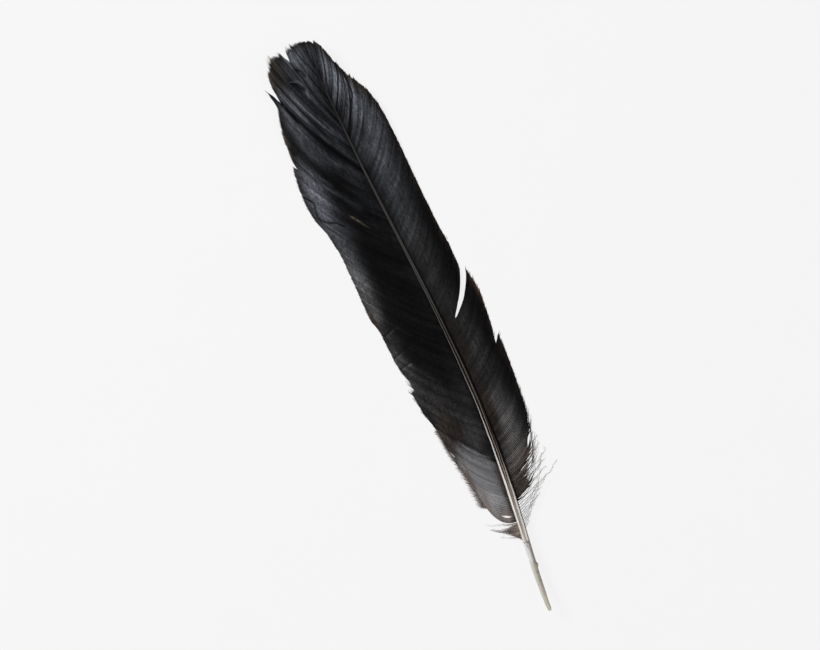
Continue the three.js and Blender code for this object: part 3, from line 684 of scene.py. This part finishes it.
RAMUS, LAST_GAP = 0.05, 0.4
WEB_OVERLAP, WEB_LEAST, WEB_MOST = 1.35, 0.06, 0.36
LOWEST = 0.02


def read_guides(side):
    """Roots, guide values and tract number of every barb of one vane."""
    tables = [np.array(guides, float) for guides in TRACTS[side].values()]
    roots = [tables[0][0, 0]]
    while roots[-1] < tables[-1][-1, 0]:
        roots.append(roots[-1] + float(SPACING(roots[-1])))
    root = np.array(roots)
    edges = [(a[-1, 0] + b[0, 0]) / 2 for a, b in zip(tables[:-1], tables[1:])]
    tract = np.searchsorted(edges, root)
    return root, tract, tables


def barb_ends(side, root, tract, tables):
    """Tip x, tip y and root angle of every barb, with the tips of a tract drawn together in clumps."""
    clump = 0.24 * ripple(root, 1.5, 41 + side) + 0.2 * ripple(root, 4.5, 51 + side)
    clump = clump * (1 + 0.7 * smooth(155, 162, root) + 0.8 * (side == RIGHT) * (1 - smooth(40, 52, root)))
    ends = np.zeros((len(root), 3))
    for number, table in enumerate(tables):
        mine = tract == number
        first, last = table[0, 0], table[-1, 0]
        fade = np.clip(np.minimum(root[mine] - first, last - root[mine]) / 1.5, 0, 1)
        aim = np.clip(root[mine] + clump[mine] * fade, first, last)
        for k, at in enumerate((aim, aim, root[mine])):
            ends[mine, k] = np.interp(at, table[:, 0], table[:, k + 1])
    return ends


def looseness(side, root):
    """The share of each barb that has come unzipped."""
    loose = LOOSE[side](root)
    if side == RIGHT:
        loose = loose * (1 + 0.7 * ripple(root, 1.2, 91) * (1 - smooth(48, 60, root)))
    return loose[:, None]


def barb_reach(side, root, loose):
    """How much of its line each barb follows: the margin is ragged where it is loose or worn."""
    ragged = 0.010 + 0.038 * smooth(158, 164, root) + 0.14 * loose[:, 0]
    reach = 1 + ragged * rng.uniform(-1, 0.5, len(root)) + 0.008 * ripple(root, 1.1, 61 + side)
    broken = np.clip(ripple(root, 0.8, 65 + side) - 0.25, 0, 1)
    return (reach - 0.05 * smooth(160, 176, root) * broken)[:, None]


def barb_heights(side, root, x, y, t):
    """Height over the table: the shaft's own lift, the vane's arch, its folds and a little disorder."""
    fall = np.clip(t, 0, 1)
    z = back_height(x) + 0.15 + (1 - fall) * ROOT_HEIGHT * shaft_depth(root)[:, None]
    z = z + crown[side](root)[:, None] * np.sin(np.pi * fall) + relief(x, y)
    return z + 0.03 * rng.normal(0, 1, (len(root), 1)) * smooth(0.1, 0.4, t)


def web_width(gap, t, free, loose):
    """Half width of a barb on one side: its web laps over the next barb, or stays narrow where it is free."""
    web = np.clip(gap * 0.5 * WEB_OVERLAP, WEB_LEAST, WEB_MOST) * (1 - 0.6 * smooth(0.72, 0.95, gap))
    alone = RAMUS * (2 - t) * (1.6 - 0.5 * smooth(0.4, 0.65, loose))
    return web * (1 - free) + np.minimum(web, alone) * free


def to_next(values):
    """What each barb's values lack to those of the next barb."""
    return np.diff(values, axis=0, append=values[-1:])


def of_last(values):
    """The values of the barb before each barb."""
    return np.vstack([values[:1], values[:-1]])


def two_sided(ahead, behind):
    """A value for each point of the section, which depends on the side of the barb that the point is on."""
    return np.where(SECTION[:, 0] > 0, ahead[..., None], behind[..., None])


def barb_shade(side, root, run):
    """Streaks of light and dark along single barbs, and a painted highlight on the ramus between the webs'
    painted shade.
    """
    streak = cloud(root[:, None] / 1.25, run / 11, 71 + side)
    grain = (0.5 + 0.9 * smooth(150, 166, root))[:, None]
    streak = 1.9 * np.sign(streak) * np.abs(streak) ** 0.7 + grain * rng.normal(0, 1, (len(root), 1))
    streak = streak + 0.9 * cloud(root[:, None] / 3.4, run / 22, 81 + side)
    spread = 0.2 + 0.14 * smooth(130, 160, root)
    contrast = 0.45 + 0.4 * smooth(140, 165, root)
    if side == LEFT:
        spread = spread - 0.08 * (1 - smooth(45, 60, root))
        contrast = contrast * (1 - 0.75 * (1 - smooth(46, 60, root)))
    else:
        contrast = contrast + 0.22 * (1 - smooth(64, 84, root))
    ridge = 1 + contrast[:, None, None] * np.interp(SECTION[:, 0], *RAMUS_PAINTED_LIGHT.T)
    return np.clip(np.exp(spread[:, None] * streak), 0.35, 2.4)[..., None] * np.clip(ridge, 0.1, 3)


def barb_courses(side, root, ends, t, loose):
    """Plan lines of the barbs, their unit normals, steps and free shares, with the free ends astray."""
    x, y = part(side, root, *barb_lines(side, root, ends[:, :2], ends[:, 2], t))
    dx, dy = np.gradient(x, axis=1), np.gradient(y, axis=1)
    length = np.hypot(dx, dy)
    ax, ay = -dy / length, dx / length
    free = smooth(1 - loose, 1 - loose * 0.5, t)
    wander = free * (0.12 + 0.3 * loose) * rng.normal(0, 1, (len(root), 1))
    wander = wander + free * 0.15 * loose * np.sin(t * 5 + rng.uniform(0, 6, (len(root), 1)))
    return x + ax * wander, y + ay * wander, ax, ay, length, free, wander


def vane(side):
    """Every barb of one vane, as rings of the barb's section along its course."""
    root, tract, tables = read_guides(side)
    loose = looseness(side, root)
    ends = barb_ends(side, root, tract, tables)
    reach = barb_reach(side, root, loose)
    t = np.linspace(0, 1, STATIONS) ** 0.92 * reach
    x, y, ax, ay, length, free, wander = barb_courses(side, root, ends, t, loose)
    ahead = np.abs(to_next(x) * ax + to_next(y) * ay)
    ahead[-1] = LAST_GAP
    behind = of_last(ahead)
    z = barb_heights(side, root, x, y, t) + free * 0.35 * np.abs(wander)
    rise = np.clip(to_next(z), -0.3, 0.3)
    slope = two_sided(rise / np.maximum(ahead, 0.25), of_last(rise) / np.maximum(behind, 0.25))
    end = np.clip((reach - t) / (0.03 + 0.5 * loose), 0, 1)
    taper = 0.15 + 0.85 * end**0.6
    webs = [web_width(gap, t, free, loose) * taper for gap in (ahead, behind)]
    offset = two_sided(*webs) * SECTION[:, 0]
    thin = (0.35 + 0.65 * end) * (1.15 - 0.55 * np.clip(t, 0, 1))
    px, py = x[..., None] - side * ax[..., None] * offset, y[..., None] - side * ay[..., None] * offset
    pz = np.maximum(z[..., None] + slope * offset + SECTION[:, 1] * thin[..., None], LOWEST)
    run = np.cumsum(length, axis=1)
    tone = vane_tone(side, px, py, (t / reach)[..., None], barb_shade(side, root, run))
    uv = np.stack([np.broadcast_to(run[..., None], px.shape), offset + (root * 7.3)[:, None, None]], -1)
    vane_pieces(side, tract, np.stack([px, py, pz], -1), uv, tone)


def vane_pieces(side, tract, points, uv, tone):
    """One piece for each tract. A left barb's section is turned round, so that its faces look outwards."""
    points, uv, tone = (values[..., ::-side, :] for values in (points, uv, tone))
    for number, name in enumerate(TRACTS[side]):
        mine = tract == number
        faces = ring_faces(mine.sum(), STATIONS, len(SECTION))
        places = pen(points[mine].reshape(-1, 3))
        obj = new_mesh(name + "_barbs", places, faces, uv[mine].reshape(-1, 2), tone[mine].reshape(-1, 4))
        ready(obj, "vane", name)


# ---------------- thin strands: down, fringes and stray barbs

def strands(name, lines, radii, tones, slot, sides, nodes=(), thin=1.0):
    """Thin closed tubes, or ribbons where thin is under one.

    lines (strand, station, 3) in mm, radii (strand, station), tones (strand, 3) or (strand, station, 3).
    """
    lines, tones = np.asarray(lines, float), np.asarray(tones, float)
    count, stations, _ = lines.shape
    along = np.gradient(lines, axis=1)
    along /= np.linalg.norm(along, axis=2, keepdims=True) + 1e-9
    flat = np.cross(along, [0.0, 0.0, 1.0])
    flat /= np.linalg.norm(flat, axis=2, keepdims=True) + 1e-9
    rise = np.cross(flat, along) * thin
    turn = 2 * np.pi * np.arange(sides) / sides
    ring = flat[:, :, None] * np.cos(turn)[:, None] + rise[:, :, None] * np.sin(turn)[:, None]
    points = lines[:, :, None] + ring * np.asarray(radii)[:, :, None, None]
    points[..., 2] = np.maximum(points[..., 2], LOWEST)
    tones = tones[:, None, None] if tones.ndim == 2 else tones[:, :, None]
    tone = np.broadcast_to(tones, points.shape).reshape(-1, 3)
    u, v = np.linspace(0, 10, stations)[:, None], np.arange(count)[:, None, None] * 3.7
    uv = np.stack(np.broadcast_arrays(u, v, points[..., 0])[:2], -1).reshape(-1, 2)
    obj = new_mesh(name, pen(points.reshape(-1, 3)), ring_faces(count, stations, sides), uv, tone)
    ready(obj, slot, *nodes)


# Downy barbs, as [root, tip x, tip y, root angle]. The left ones are matted together.
DOWN_LEFT = [
    [24.2, 25.8, -0.4, 84], [24.6, 26.8, 0.6, 84], [25, 27.6, 1.6, 82], [25.4, 28.4, 3, 80],
    [25.8, 29, 4.2, 78], [26.2, 29.8, 5.2, 76], [26.6, 30.4, 6.4, 74], [27, 30.8, 7.1, 74],
    [27.4, 30.6, 6.6, 76], [27.8, 30.2, 5.8, 78], [28.2, 29.9, 5, 80], [28.5, 29.6, 4.4, 84],
    [28.8, 29.7, 3.4, 86], [29.2, 30.2, 2.2, 86], [29.5, 33.3, 7.6, 80], [25.1, 27.3, 4.6, 82],
]
DOWN_RIGHT = [
    [27.2, 29.8, -6.2, 58], [28, 31.4, -7.4, 60], [28.8, 32.8, -8.8, 60], [29.6, 33.8, -10, 62],
    [30.4, 35.4, -11.6, 64], [31.2, 36, -12.4, 66], [32, 37, -13.8, 66], [32.8, 38.4, -14.4, 68],
    [33.6, 39.4, -15.2, 68], [34.4, 40, -17, 68], [35.2, 43.4, -21.8, 70], [36, 41.6, -16.4, 70],
    [36.8, 43.2, -17.6, 70], [37.6, 44.6, -18.8, 70], [38.4, 45.4, -17.2, 70], [39.2, 46.6, -19, 70],
    [40, 48.6, -19.8, 70], [40.8, 48.4, -18, 69], [41.8, 50.4, -19, 68], [42.8, 51.6, -18.8, 67],
    [43.8, 52.6, -19.6, 66],
]
BROWN, HAIR_RADIUS = np.array([0.105, 0.082, 0.07]), 0.03


def curling(side, guides, curl):
    """Lines of downy barbs (barb, station, 3) that follow their guides and curl about them."""
    guides = np.array(guides, float)
    count, stations = len(guides), 30
    t = np.broadcast_to(np.linspace(0, 1, stations), (count, stations))
    x, y = barb_lines(side, guides[:, 0], guides[:, 1:3], guides[:, 3], t)
    size = np.hypot(guides[:, 1] - guides[:, 0], guides[:, 2] - shaft_side(guides[:, 0]))[:, None]
    dx, dy = np.gradient(x, axis=1), np.gradient(y, axis=1)
    norm = np.hypot(dx, dy)
    phase = rng.uniform(0, 6.28, (count, 1))
    wave = 0.05 * size * np.sin(t * rng.uniform(3, 7, (count, 1)) + phase) * t
    wave = curl * (wave + 0.28 * np.sin(t * size * rng.uniform(0.8, 1.5, (count, 1)) + 2 * phase) * t)
    x, y = x - dy / norm * wave, y + dx / norm * wave
    z = back_height(x) + 0.3 + 0.4 * shaft_depth(x) * (1 - t) + 0.07 * size * np.sin(np.pi * t)
    z = z + 0.04 * size * t * np.cos(t * 5 + phase)
    return np.stack([x, y, z], -1), size[:, 0]


def hairs(rami, size, each, long, tone):
    """Barbules along downy barbs, as lines, radii and tones: so many to each mm, and about so long in mm."""
    count, stations, _ = rami.shape
    lines, radii, tones = [], [], []
    for i in range(count):
        number = int(size[i] * each)
        for k in range(number):
            s = (0.05 + 0.94 * (k + rng.uniform()) / number) * (stations - 1)
            j = min(int(s), stations - 2)
            forward = rami[i, j + 1] - rami[i, j]
            at = rami[i, j] + forward * (s - j)
            forward = forward / np.linalg.norm(forward)
            out = np.array([-forward[1], forward[0], 0]) * rng.choice([-1, 1])
            reach = long * rng.uniform(0.4, 1.4) * (1 - 0.3 * k / number)
            u = np.linspace(0, 1, 6)[:, None]
            lean = rng.uniform(0.4, 1.0)
            line = at + reach * (out * (u - 0.45 * u**2) + forward * lean * (0.3 * u + 0.7 * u**2))
            lines.append(line + np.array([0, 0, 1]) * reach * u * rng.uniform(-0.25, 0.4))
            radii.append(HAIR_RADIUS * (1 - 0.5 * u[:, 0]))
            tones.append(tone * rng.uniform(0.7, 1.4))
    return lines, radii, tones


def down():
    """The free downy barbs below the vanes: single ones on the right, matted ones on the left."""
    rami, size = curling(RIGHT, DOWN_RIGHT, 1.0)
    t = np.linspace(0, 1, rami.shape[1])
    faint = 1 - smooth(28, 36, np.array(DOWN_RIGHT)[:, :1])
    tone = (BROWN + 0.2 * faint) * rng.uniform(0.5, 1.2, (len(rami), 1))
    radii = (0.05 - 0.01 * faint) * (1 - t) + 0.035
    nodes = [f"downy_barb_right_{i}" for i in range(1, 12)]
    strands("down_right_barbs", rami, radii, tone, "down", 5, nodes)
    strands("down_right_barbules", *hairs(rami, size, 3.5, 0.9, 1.6 * BROWN), "down", 3)

    rami, size = curling(LEFT, DOWN_LEFT, 0.45)
    t = np.tile(np.linspace(0, 1, rami.shape[1]), (len(rami), 1))
    tone = mix([0.09, 0.072, 0.065], [0.46, 0.385, 0.34], (1 - t) ** 0.8)
    tone = tone * rng.uniform(0.6, 1.3, (len(rami), 1, 1))
    radii = 0.24 * (1 - smooth(0.1, 0.7, t)) + 0.05 * (1.15 - t)
    radii[-2:] *= 0.5
    nodes = [f"downy_barb_left_{i}" for i in range(1, 6)]
    strands("down_left_barbs", rami, radii, tone, "down", 6, nodes, 0.3)
    strands("down_left_barbules", *hairs(rami, size, 5, 0.7, 1.2 * BROWN), "down", 3)


# Where barbules stand out from the margin as a fringe: side, edge, hairs, length in mm, heading, spread.
FRINGES = [
    (LEFT, [(38, 5), (42, 5.6), (48, 6.5), (54, 7.6), (60, 8.9), (67, 9.8)], 1700, 3.3, 62, 15),
    (LEFT, [(37.6, 4.9), (39.3, 5.3)], 260, 2.9, 62, 9),
    (RIGHT, [(45, -14.4), (50, -16.6), (56, -18.4), (64, -19.9), (74, -20.6)], 420, 2.2, -46, 16),
]
FRINGE_TONE = np.array([0.50, 0.44, 0.405])


def fringe():
    """Short free barbules along the margins of both vanes' bases."""
    lines, radii, tones = [], [], []
    u = np.linspace(0, 1, 7)
    for side, edge, count, long, heading, spread in FRINGES:
        edge = np.array(edge)
        for _ in range(count):
            s = rng.uniform(0, 1) ** 1.2
            at = [np.interp(s, np.linspace(0, 1, len(edge)), edge[:, k]) for k in (0, 1)]
            reach = long * rng.uniform(0.35, 1.15) * (1 - 0.55 * s)
            turn = np.radians(rng.normal(heading, spread)) - side * u * rng.uniform(0.0, 0.9)
            x = at[0] - 0.4 * math.cos(turn[0]) + np.cumsum(np.cos(turn)) * reach / 7
            y = at[1] - 0.4 * math.sin(turn[0]) + np.cumsum(np.sin(turn)) * reach / 7
            z = back_height(x) + 0.2 + 0.35 * reach * u * rng.uniform(-0.3, 1)
            lines.append(np.stack([x, y, z], -1))
            radii.append(rng.uniform(0.03, 0.048) * (1 - 0.65 * u))
            tones.append(FRINGE_TONE * rng.uniform(0.4, 1.5))
    strands("margin_fringe", lines, radii, tones, "down", 3)


# Barbs that have sprung out of the tip's vane, as plan points with a lift over the vane in mm.
STRAY = [
    [(178, 4.6, 0), (180.5, 3.7, 0.3), (184, 2.9, 0.6), (186.6, 3.8, 0.7), (188, 5.7, 0.5),
     (188.8, 7.4, 0.2)],
    [(185.4, 2.4, 0.1), (187, 1.8, 0.3), (189.5, 0.9, 0.5), (191.3, 2.4, 0.5), (192.2, 4.2, 0.2)],
]
STRAY_HEIGHT, STRAY_RADIUS = 1.25, 0.17


def stray_barbs():
    """Single barbs that curl over the vane near the tip."""
    lines, radii = [], []
    for points in STRAY:
        points = np.array(points)
        u = np.linspace(0, len(points) - 1, 40)
        x, y, lift = (through(np.stack([np.arange(len(points)), points[:, k]], 1))(u) for k in range(3))
        z = back_height(x) + STRAY_HEIGHT + 0.6 * lift
        lines.append(np.stack([x, y, z], -1))
        radii.append(STRAY_RADIUS * (1 - 0.5 * (u / u[-1]) ** 3))
    # The stray barbs are grey, not black: painted sheen on the curls.
    tones = np.tile([0.085, 0.09, 0.10], (len(lines), 1))
    strands("stray_barbs", lines, radii, tones, "vane", 6)


# ---------------- shaft

# Section of the shaft, as shares of half width and depth, round from the back: the belly is grooved.
SHAFT_SECTION = [
    (0, 0), (0.5, 0), (0.75, 0.06), (0.9, 0.17), (0.98, 0.32), (0.97, 0.48), (0.93, 0.62),
    (0.9, 0.76), (0.83, 0.89), (0.7, 0.975), (0.54, 1), (0.4, 0.955), (0.27, 0.87), (0.12, 0.8),
    (0, 0.785),
]
GROOVE = 0.54


def shaft():
    """The horn sheath, one long tube of the grooved section that ends closed at the feather's tip."""
    marks = np.arange(len(SHAFT_SECTION))
    steps = np.linspace(0, marks[-1], 3 * marks[-1] + 1)
    half = np.stack([np.interp(steps, marks, column) for column in zip(*SHAFT_SECTION)], 1)
    section = np.vstack([half, half[-2:0:-1] * [-1, 1]])
    sides, stations = len(section), 420
    x = np.linspace(SHAFT_START, TIP_END, stations)[:, None]
    width, depth = shaft_width(x), shaft_depth(x)
    fade = 1 - smooth(SHAFT_END - 3, TIP_END, x)
    start = smooth(SHAFT_START, BARREL_LENGTH + 5, x)
    across, up = section[:, 0], section[:, 1]
    groove = (up > 0.7) * (1 - np.abs(across) / GROOVE) * (np.abs(across) < GROOVE)
    lift = groove * 0.2 * (1 - start)
    ridges = 0.012 * np.sin(across * 17) * (up > 0.6)
    y = shaft_side(x) + across * width / 2 * (0.35 + 0.65 * fade) * (1 + 0.012 * ripple(x, 3.0, 5))
    z = back_height(x) + (up + lift + ridges) * depth * (0.4 + 0.6 * fade)
    z = z + 0.05 * depth * ripple(x, 6.0, 8) * (up > 0.6)
    x, around = np.broadcast_arrays(x, np.cumsum(np.r_[0, np.hypot(*np.diff(section, axis=0).T)]))
    points = pen(np.stack([x, y, z], -1).reshape(-1, 3))
    uv, tone = np.stack([x, around], -1).reshape(-1, 2), shaft_tone(x, across, up).reshape(-1, 3)
    obj = new_mesh("shaft", points, ring_faces(1, stations, sides), uv, tone)
    ready(obj, "shaft_horn", "shaft_sheath")


# Stripes along the shaft's belly, each with its colour and place at stations from the nib:
# [station, centre across, half width, (colour)]. Across runs from -1 to 1, towards the wide vane.
STRIPES = [
    [(24, 0.62, 0.36, (0.9, 0.84, 0.76)), (38, 0.66, 0.31, (1, 0.97, 0.92)),
     (55, 0.76, 0.16, (0.84, 0.81, 0.78)), (64, 0.68, 0.13, (0.52, 0.49, 0.46)),
     (72, 0.6, 0.12, (0.33, 0.31, 0.29)), (82, 0.72, 0.11, (0.19, 0.175, 0.16)),
     (95, 0.7, 0.11, (0.13, 0.12, 0.11)), (112, 0.6, 0.2, (0.075, 0.07, 0.065))],
    [(24, 0.1, 0.2, (0.5, 0.44, 0.38)), (38, 0.04, 0.14, (0.36, 0.29, 0.24)),
     (50, 0.04, 0.13, (0.36, 0.275, 0.225)), (60, -0.08, 0.11, (0.3, 0.22, 0.175)),
     (70, -0.28, 0.1, (0.22, 0.165, 0.13)), (82, -0.24, 0.1, (0.19, 0.145, 0.115)),
     (95, -0.22, 0.09, (0.14, 0.11, 0.09)), (112, 0, 0.2, (0.085, 0.078, 0.07))],
    [(24, -0.4, 0.3, (0.74, 0.69, 0.64)), (34, -0.46, 0.28, (0.74, 0.71, 0.68)),
     (42, -0.52, 0.2, (0.56, 0.52, 0.49)), (50, -0.56, 0.1, (0.19, 0.16, 0.14)),
     (60, -0.6, 0.07, (0.03, 0.024, 0.02)), (90, -0.6, 0.06, (0.012, 0.01, 0.009))],
]


def shaft_tone(x, across, up):
    """White and tan ridges on a dark ground near the barrel, and a plain grey-brown strip further up, with
    painted shade on its right side and a painted shadow along its right edge.
    """
    across, up = np.broadcast_arrays(across, up, x)[:2]
    top = smooth(0.45, 0.62, up)
    ground = mix([0.24, 0.185, 0.155], [0.006, 0.005, 0.0045], smooth(30, 54, x))
    tone = ground * (1 + 0.75 * ripple(across * 9 + 0.8 * ripple(x, 2.6, 9) + x * 0.015, 1.0, 3))[..., None]
    for stripe in STRIPES:
        stations = np.array([(at, centre, half, *colour) for at, centre, half, colour in stripe])
        centre, half, *colour = (np.interp(x, stations[:, 0], column) for column in stations.T[1:])
        centre = centre + 0.05 * ripple(x, 2.6, int(10 * stripe[0][1]) + 40)
        tone = mix(tone, np.stack(colour, -1), np.exp(-(((across - centre) / half) ** 4)) * top)
    # Painted shade on the strip's right side, away from the light; it also darkens towards the tip.
    painted_side_shade = np.clip(1.15 - 1.1 * smooth(0.1, 0.75, -across), 0.06, 1) * (1 - 0.45 * smooth(140, 190, x))
    tone = mix(tone, np.array([0.060, 0.056, 0.052]) * painted_side_shade[..., None], smooth(98, 118, x))
    # A painted shadow along the shaft's right edge.
    return mix(tone, [0.010, 0.008, 0.007], smooth(0.68, 0.86, -across) * smooth(25, 34, x))


# ---------------- barrel with nib

def tube_mesh(name, x, inset, sides=64):
    """A closed oval tube round the shaft's axis, as an object for a cut."""
    turn = 2 * np.pi * (np.arange(sides) + 0.5) / sides
    x = x[:, None]
    scar = 0.38 * np.exp(-(((x - 14.9) / 0.7) ** 2)) * np.clip(-np.cos(turn), 0, 1) ** 2 * (inset == 0)
    y = shaft_side(x) + (shaft_width(x) / 2 - inset) * np.cos(turn) - scar
    z = back_height(x) + shaft_depth(x) / 2 + (shaft_depth(x) / 2 - inset) * np.sin(turn)
    points = pen(np.stack([np.broadcast_to(x, y.shape), y, z], -1).reshape(-1, 3))
    return new_mesh(name, points, ring_faces(1, len(x), sides))


def prism(name, outline, low, high, axis):
    """An outline in plan pushed along z (axis 2), or a side view's outline pushed along y (axis 1)."""
    outline = np.array(outline, float)
    spokes = outline - outline.mean(0)
    clockwise = np.cross(spokes, np.roll(spokes, -1, 0)).sum() < 0
    if clockwise != (axis == 1):
        outline = outline[::-1]
    rings = [np.insert(outline, axis, level, axis=1) for level in (low, high)]
    return new_mesh(name, pen(np.vstack(rings)), ring_faces(1, 2, len(outline)))


# The nib's cut sides in plan: side, start at the tip, bend and end. The wide vane's side is cut further back.
NIB_SIDES = [(LEFT, (0, 0.25), (2.2, 0.62), (4.8, 0.63)), (RIGHT, (0, -0.66), (1.0, -1.0), (2.4, -1.12))]
# Where the scoop from below ends, the slit's length, the tube's wall and how much of its height stays.
SCOOP_END, SLIT_LENGTH, WALL, ROOF_SHARE = 7.5, 3.5, 0.3, 0.62


def arc(*points):
    """A bend through 12 points from the first of three plan points to the last."""
    return [tuple(bezier(*np.array(points), u)) for u in np.linspace(0, 1, 12)]


def cut_tools():
    """The solids that are cut from the barrel: its bore, the scoop from below, both sides and the slit."""
    back, roof = float(back_height(0.0)), float(back_height(0.0) + ROOF_SHARE * shaft_depth(0.0))
    low, start = back - 3, (SCOOP_END, float(back_height(SCOOP_END)))
    scoop = [(-1, low), (SCOOP_END, low)] + arc(start, (5.2, roof - 0.45), (3.6, roof - 0.25))
    bore = tube_mesh("cut_bore", np.linspace(-1, BARREL_LENGTH + 1, 90), WALL)
    tools = [bore, prism("cut_scoop", scoop + [(-1, roof + 0.1)], -5, 5, 1)]
    for side, start, bend, end in NIB_SIDES:
        outline = [(-1, start[1] - side * 0.1)] + arc(start, bend, end)
        outline += [(end[0], end[1] + side * 4), (-1, start[1] + side * 4)]
        tools.append(prism(f"cut_side_{side + 1}", outline, -2, 12, 2))
    tip, end = float(shaft_side(0.0)), float(shaft_side(SLIT_LENGTH))
    slit = [(-1, tip - 0.16), (SLIT_LENGTH, end - 0.02), (SLIT_LENGTH, end + 0.02), (-1, tip - 0.08)]
    return tools + [prism("cut_slit", slit, -2, 12, 2)]


def barrel():
    """The bare tube with its scar, cut into a nib, coloured point by point once it is cut."""
    body = tube_mesh("barrel_with_nib_horn", np.linspace(0, BARREL_LENGTH, 110), 0)
    tools = cut_tools()
    for tool in tools:
        cut = body.modifiers.new("cut", "BOOLEAN")
        cut.operation, cut.object, cut.solver = "DIFFERENCE", tool, "EXACT"
    shaped = bpy.data.meshes.new_from_object(body.evaluated_get(bpy.context.evaluated_depsgraph_get()))
    shaped.name = "barrel_with_nib_horn"
    body.modifiers.clear()
    body.data = shaped
    for tool in tools:
        bpy.data.objects.remove(tool)
    shaped.set_sharp_from_angle(angle=math.radians(40))
    places = np.zeros(len(shaped.vertices) * 3)
    shaped.vertices.foreach_get("co", places)
    paint(shaped, barrel_tone(*((places.reshape(-1, 3) - SHIFT) * 1000).T[:2]))
    ready(body, "barrel_horn", "barrel_with_nib")


# Dark spots on the barrel: place, reach along and across, strength.
SPOTS = [(22.9, -2.35, 0.5, 0.35, 0.95), (21.6, -1.9, 0.9, 0.16, 0.75), (15.4, -2.6, 0.35, 0.4, 0.9),
         (16, -2, 0.8, 0.4, 0.4), (12.8, -1.5, 0.35, 0.25, 0.6), (10, -1.3, 0.3, 0.25, 0.55)]


def barrel_tone(x, y):
    """Cream horn, olive at the tip and blue-white near the shaft, tan along its right edge."""
    across = (y - shaft_side(x)) / (shaft_width(x) / 2)
    blue = smooth(15.0, 18.0, x)
    tone = mix([0.64, 0.635, 0.54], [0.80, 0.795, 0.785], blue)
    tone = mix([0.54, 0.515, 0.37], tone, smooth(0.5, 6, x))
    low = -0.45 + 0.3 * smooth(14, 17, x)
    tan = smooth(low, low + 0.7, -across) * (0.3 + 0.7 * smooth(1, 10, x))
    tone = mix(tone, mix([0.50, 0.43, 0.345], [0.36, 0.31, 0.28], blue), tan)
    for *place, dark in SPOTS:
        tone = mix(tone, [0.10, 0.07, 0.05], dark * patch(x, y, *place))
    return tone


# ---------------- build the pen

MATERIALS = {
    "vane": vane_material(), "shaft_horn": shaft_material(), "barrel_horn": barrel_material(),
    "down": down_material(),
}
PITH = foam_material("pith_foam", (0.74, 0.68, 0.58, 1), (0.52, 0.46, 0.37, 1))
SKIN = foam_material("pulp_skin", (0.42, 0.33, 0.23, 1), (0.24, 0.17, 0.11, 1))

vane(LEFT)
vane(RIGHT)
down()
fringe()
stray_barbs()
shaft()
barrel()
inner = {"umbilicus_plug": PITH, "shaft_pith": PITH, **{f"pulp_cap_{i}": SKIN for i in range(1, 6)}}
for node, material in inner.items():
    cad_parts[node].data.materials.clear()
    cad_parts[node].data.materials.append(material)

# ---------------- floor, light and camera

floor = new_mesh("floor", [(-2, -2, 0), (2, -2, 0), (2, 2, 0), (-2, 2, 0)], [[(0, 1, 2, 3)]])
floor.data.materials.append(floor_material())

# The picture's right and up, in the row frame.
RIGHT_WAY = Vector((-0.4064, -0.9137, 0))
UP_WAY = Vector((0.9137, -0.4064, 0))


def lamp(name, right, up, height, size, power):
    """An area light aimed at the feather, placed in metres along the picture's right and up and above it."""
    data = bpy.data.lights.new(name, "AREA")
    data.shape = "DISK"
    data.size = size
    data.energy = power
    obj = bpy.data.objects.new(name, data)
    obj.location = RIGHT_WAY * right + UP_WAY * up + Vector((0, 0, height))
    obj.rotation_euler = (-obj.location).to_track_quat("-Z", "Y").to_euler()
    bpy.context.scene.collection.objects.link(obj)


lamp("key", right=-0.75, up=0.35, height=0.75, size=0.5, power=11.5)
lamp("fill", right=0.9, up=-0.2, height=0.9, size=0.8, power=4)

world = bpy.data.worlds.new("studio")
world.use_nodes = True
background = world.node_tree.nodes["Background"]
background.inputs["Color"].default_value = (1, 1, 1, 1)
background.inputs["Strength"].default_value = 0.06
bpy.context.scene.world = world
bpy.context.scene.view_settings.view_transform = "Standard"

LENS, SENSOR, VIEW_WIDTH = 90.0, 36.0, 0.265
PICTURE_CENTRE = (101.9, 3.66, 0)
camera_data = bpy.data.cameras.new("camera")
camera_data.lens = LENS
camera_data.sensor_width = SENSOR
camera = bpy.data.objects.new("camera", camera_data)
centre = Vector(pen(PICTURE_CENTRE))
turn = Matrix((RIGHT_WAY, UP_WAY, (0, 0, 1))).transposed()
camera.matrix_world = Matrix.Translation(centre + Vector((0, 0, VIEW_WIDTH * LENS / SENSOR))) @ turn.to_4x4()
bpy.context.scene.collection.objects.link(camera)
bpy.context.scene.camera = camera

bpy.context.view_layer.update()
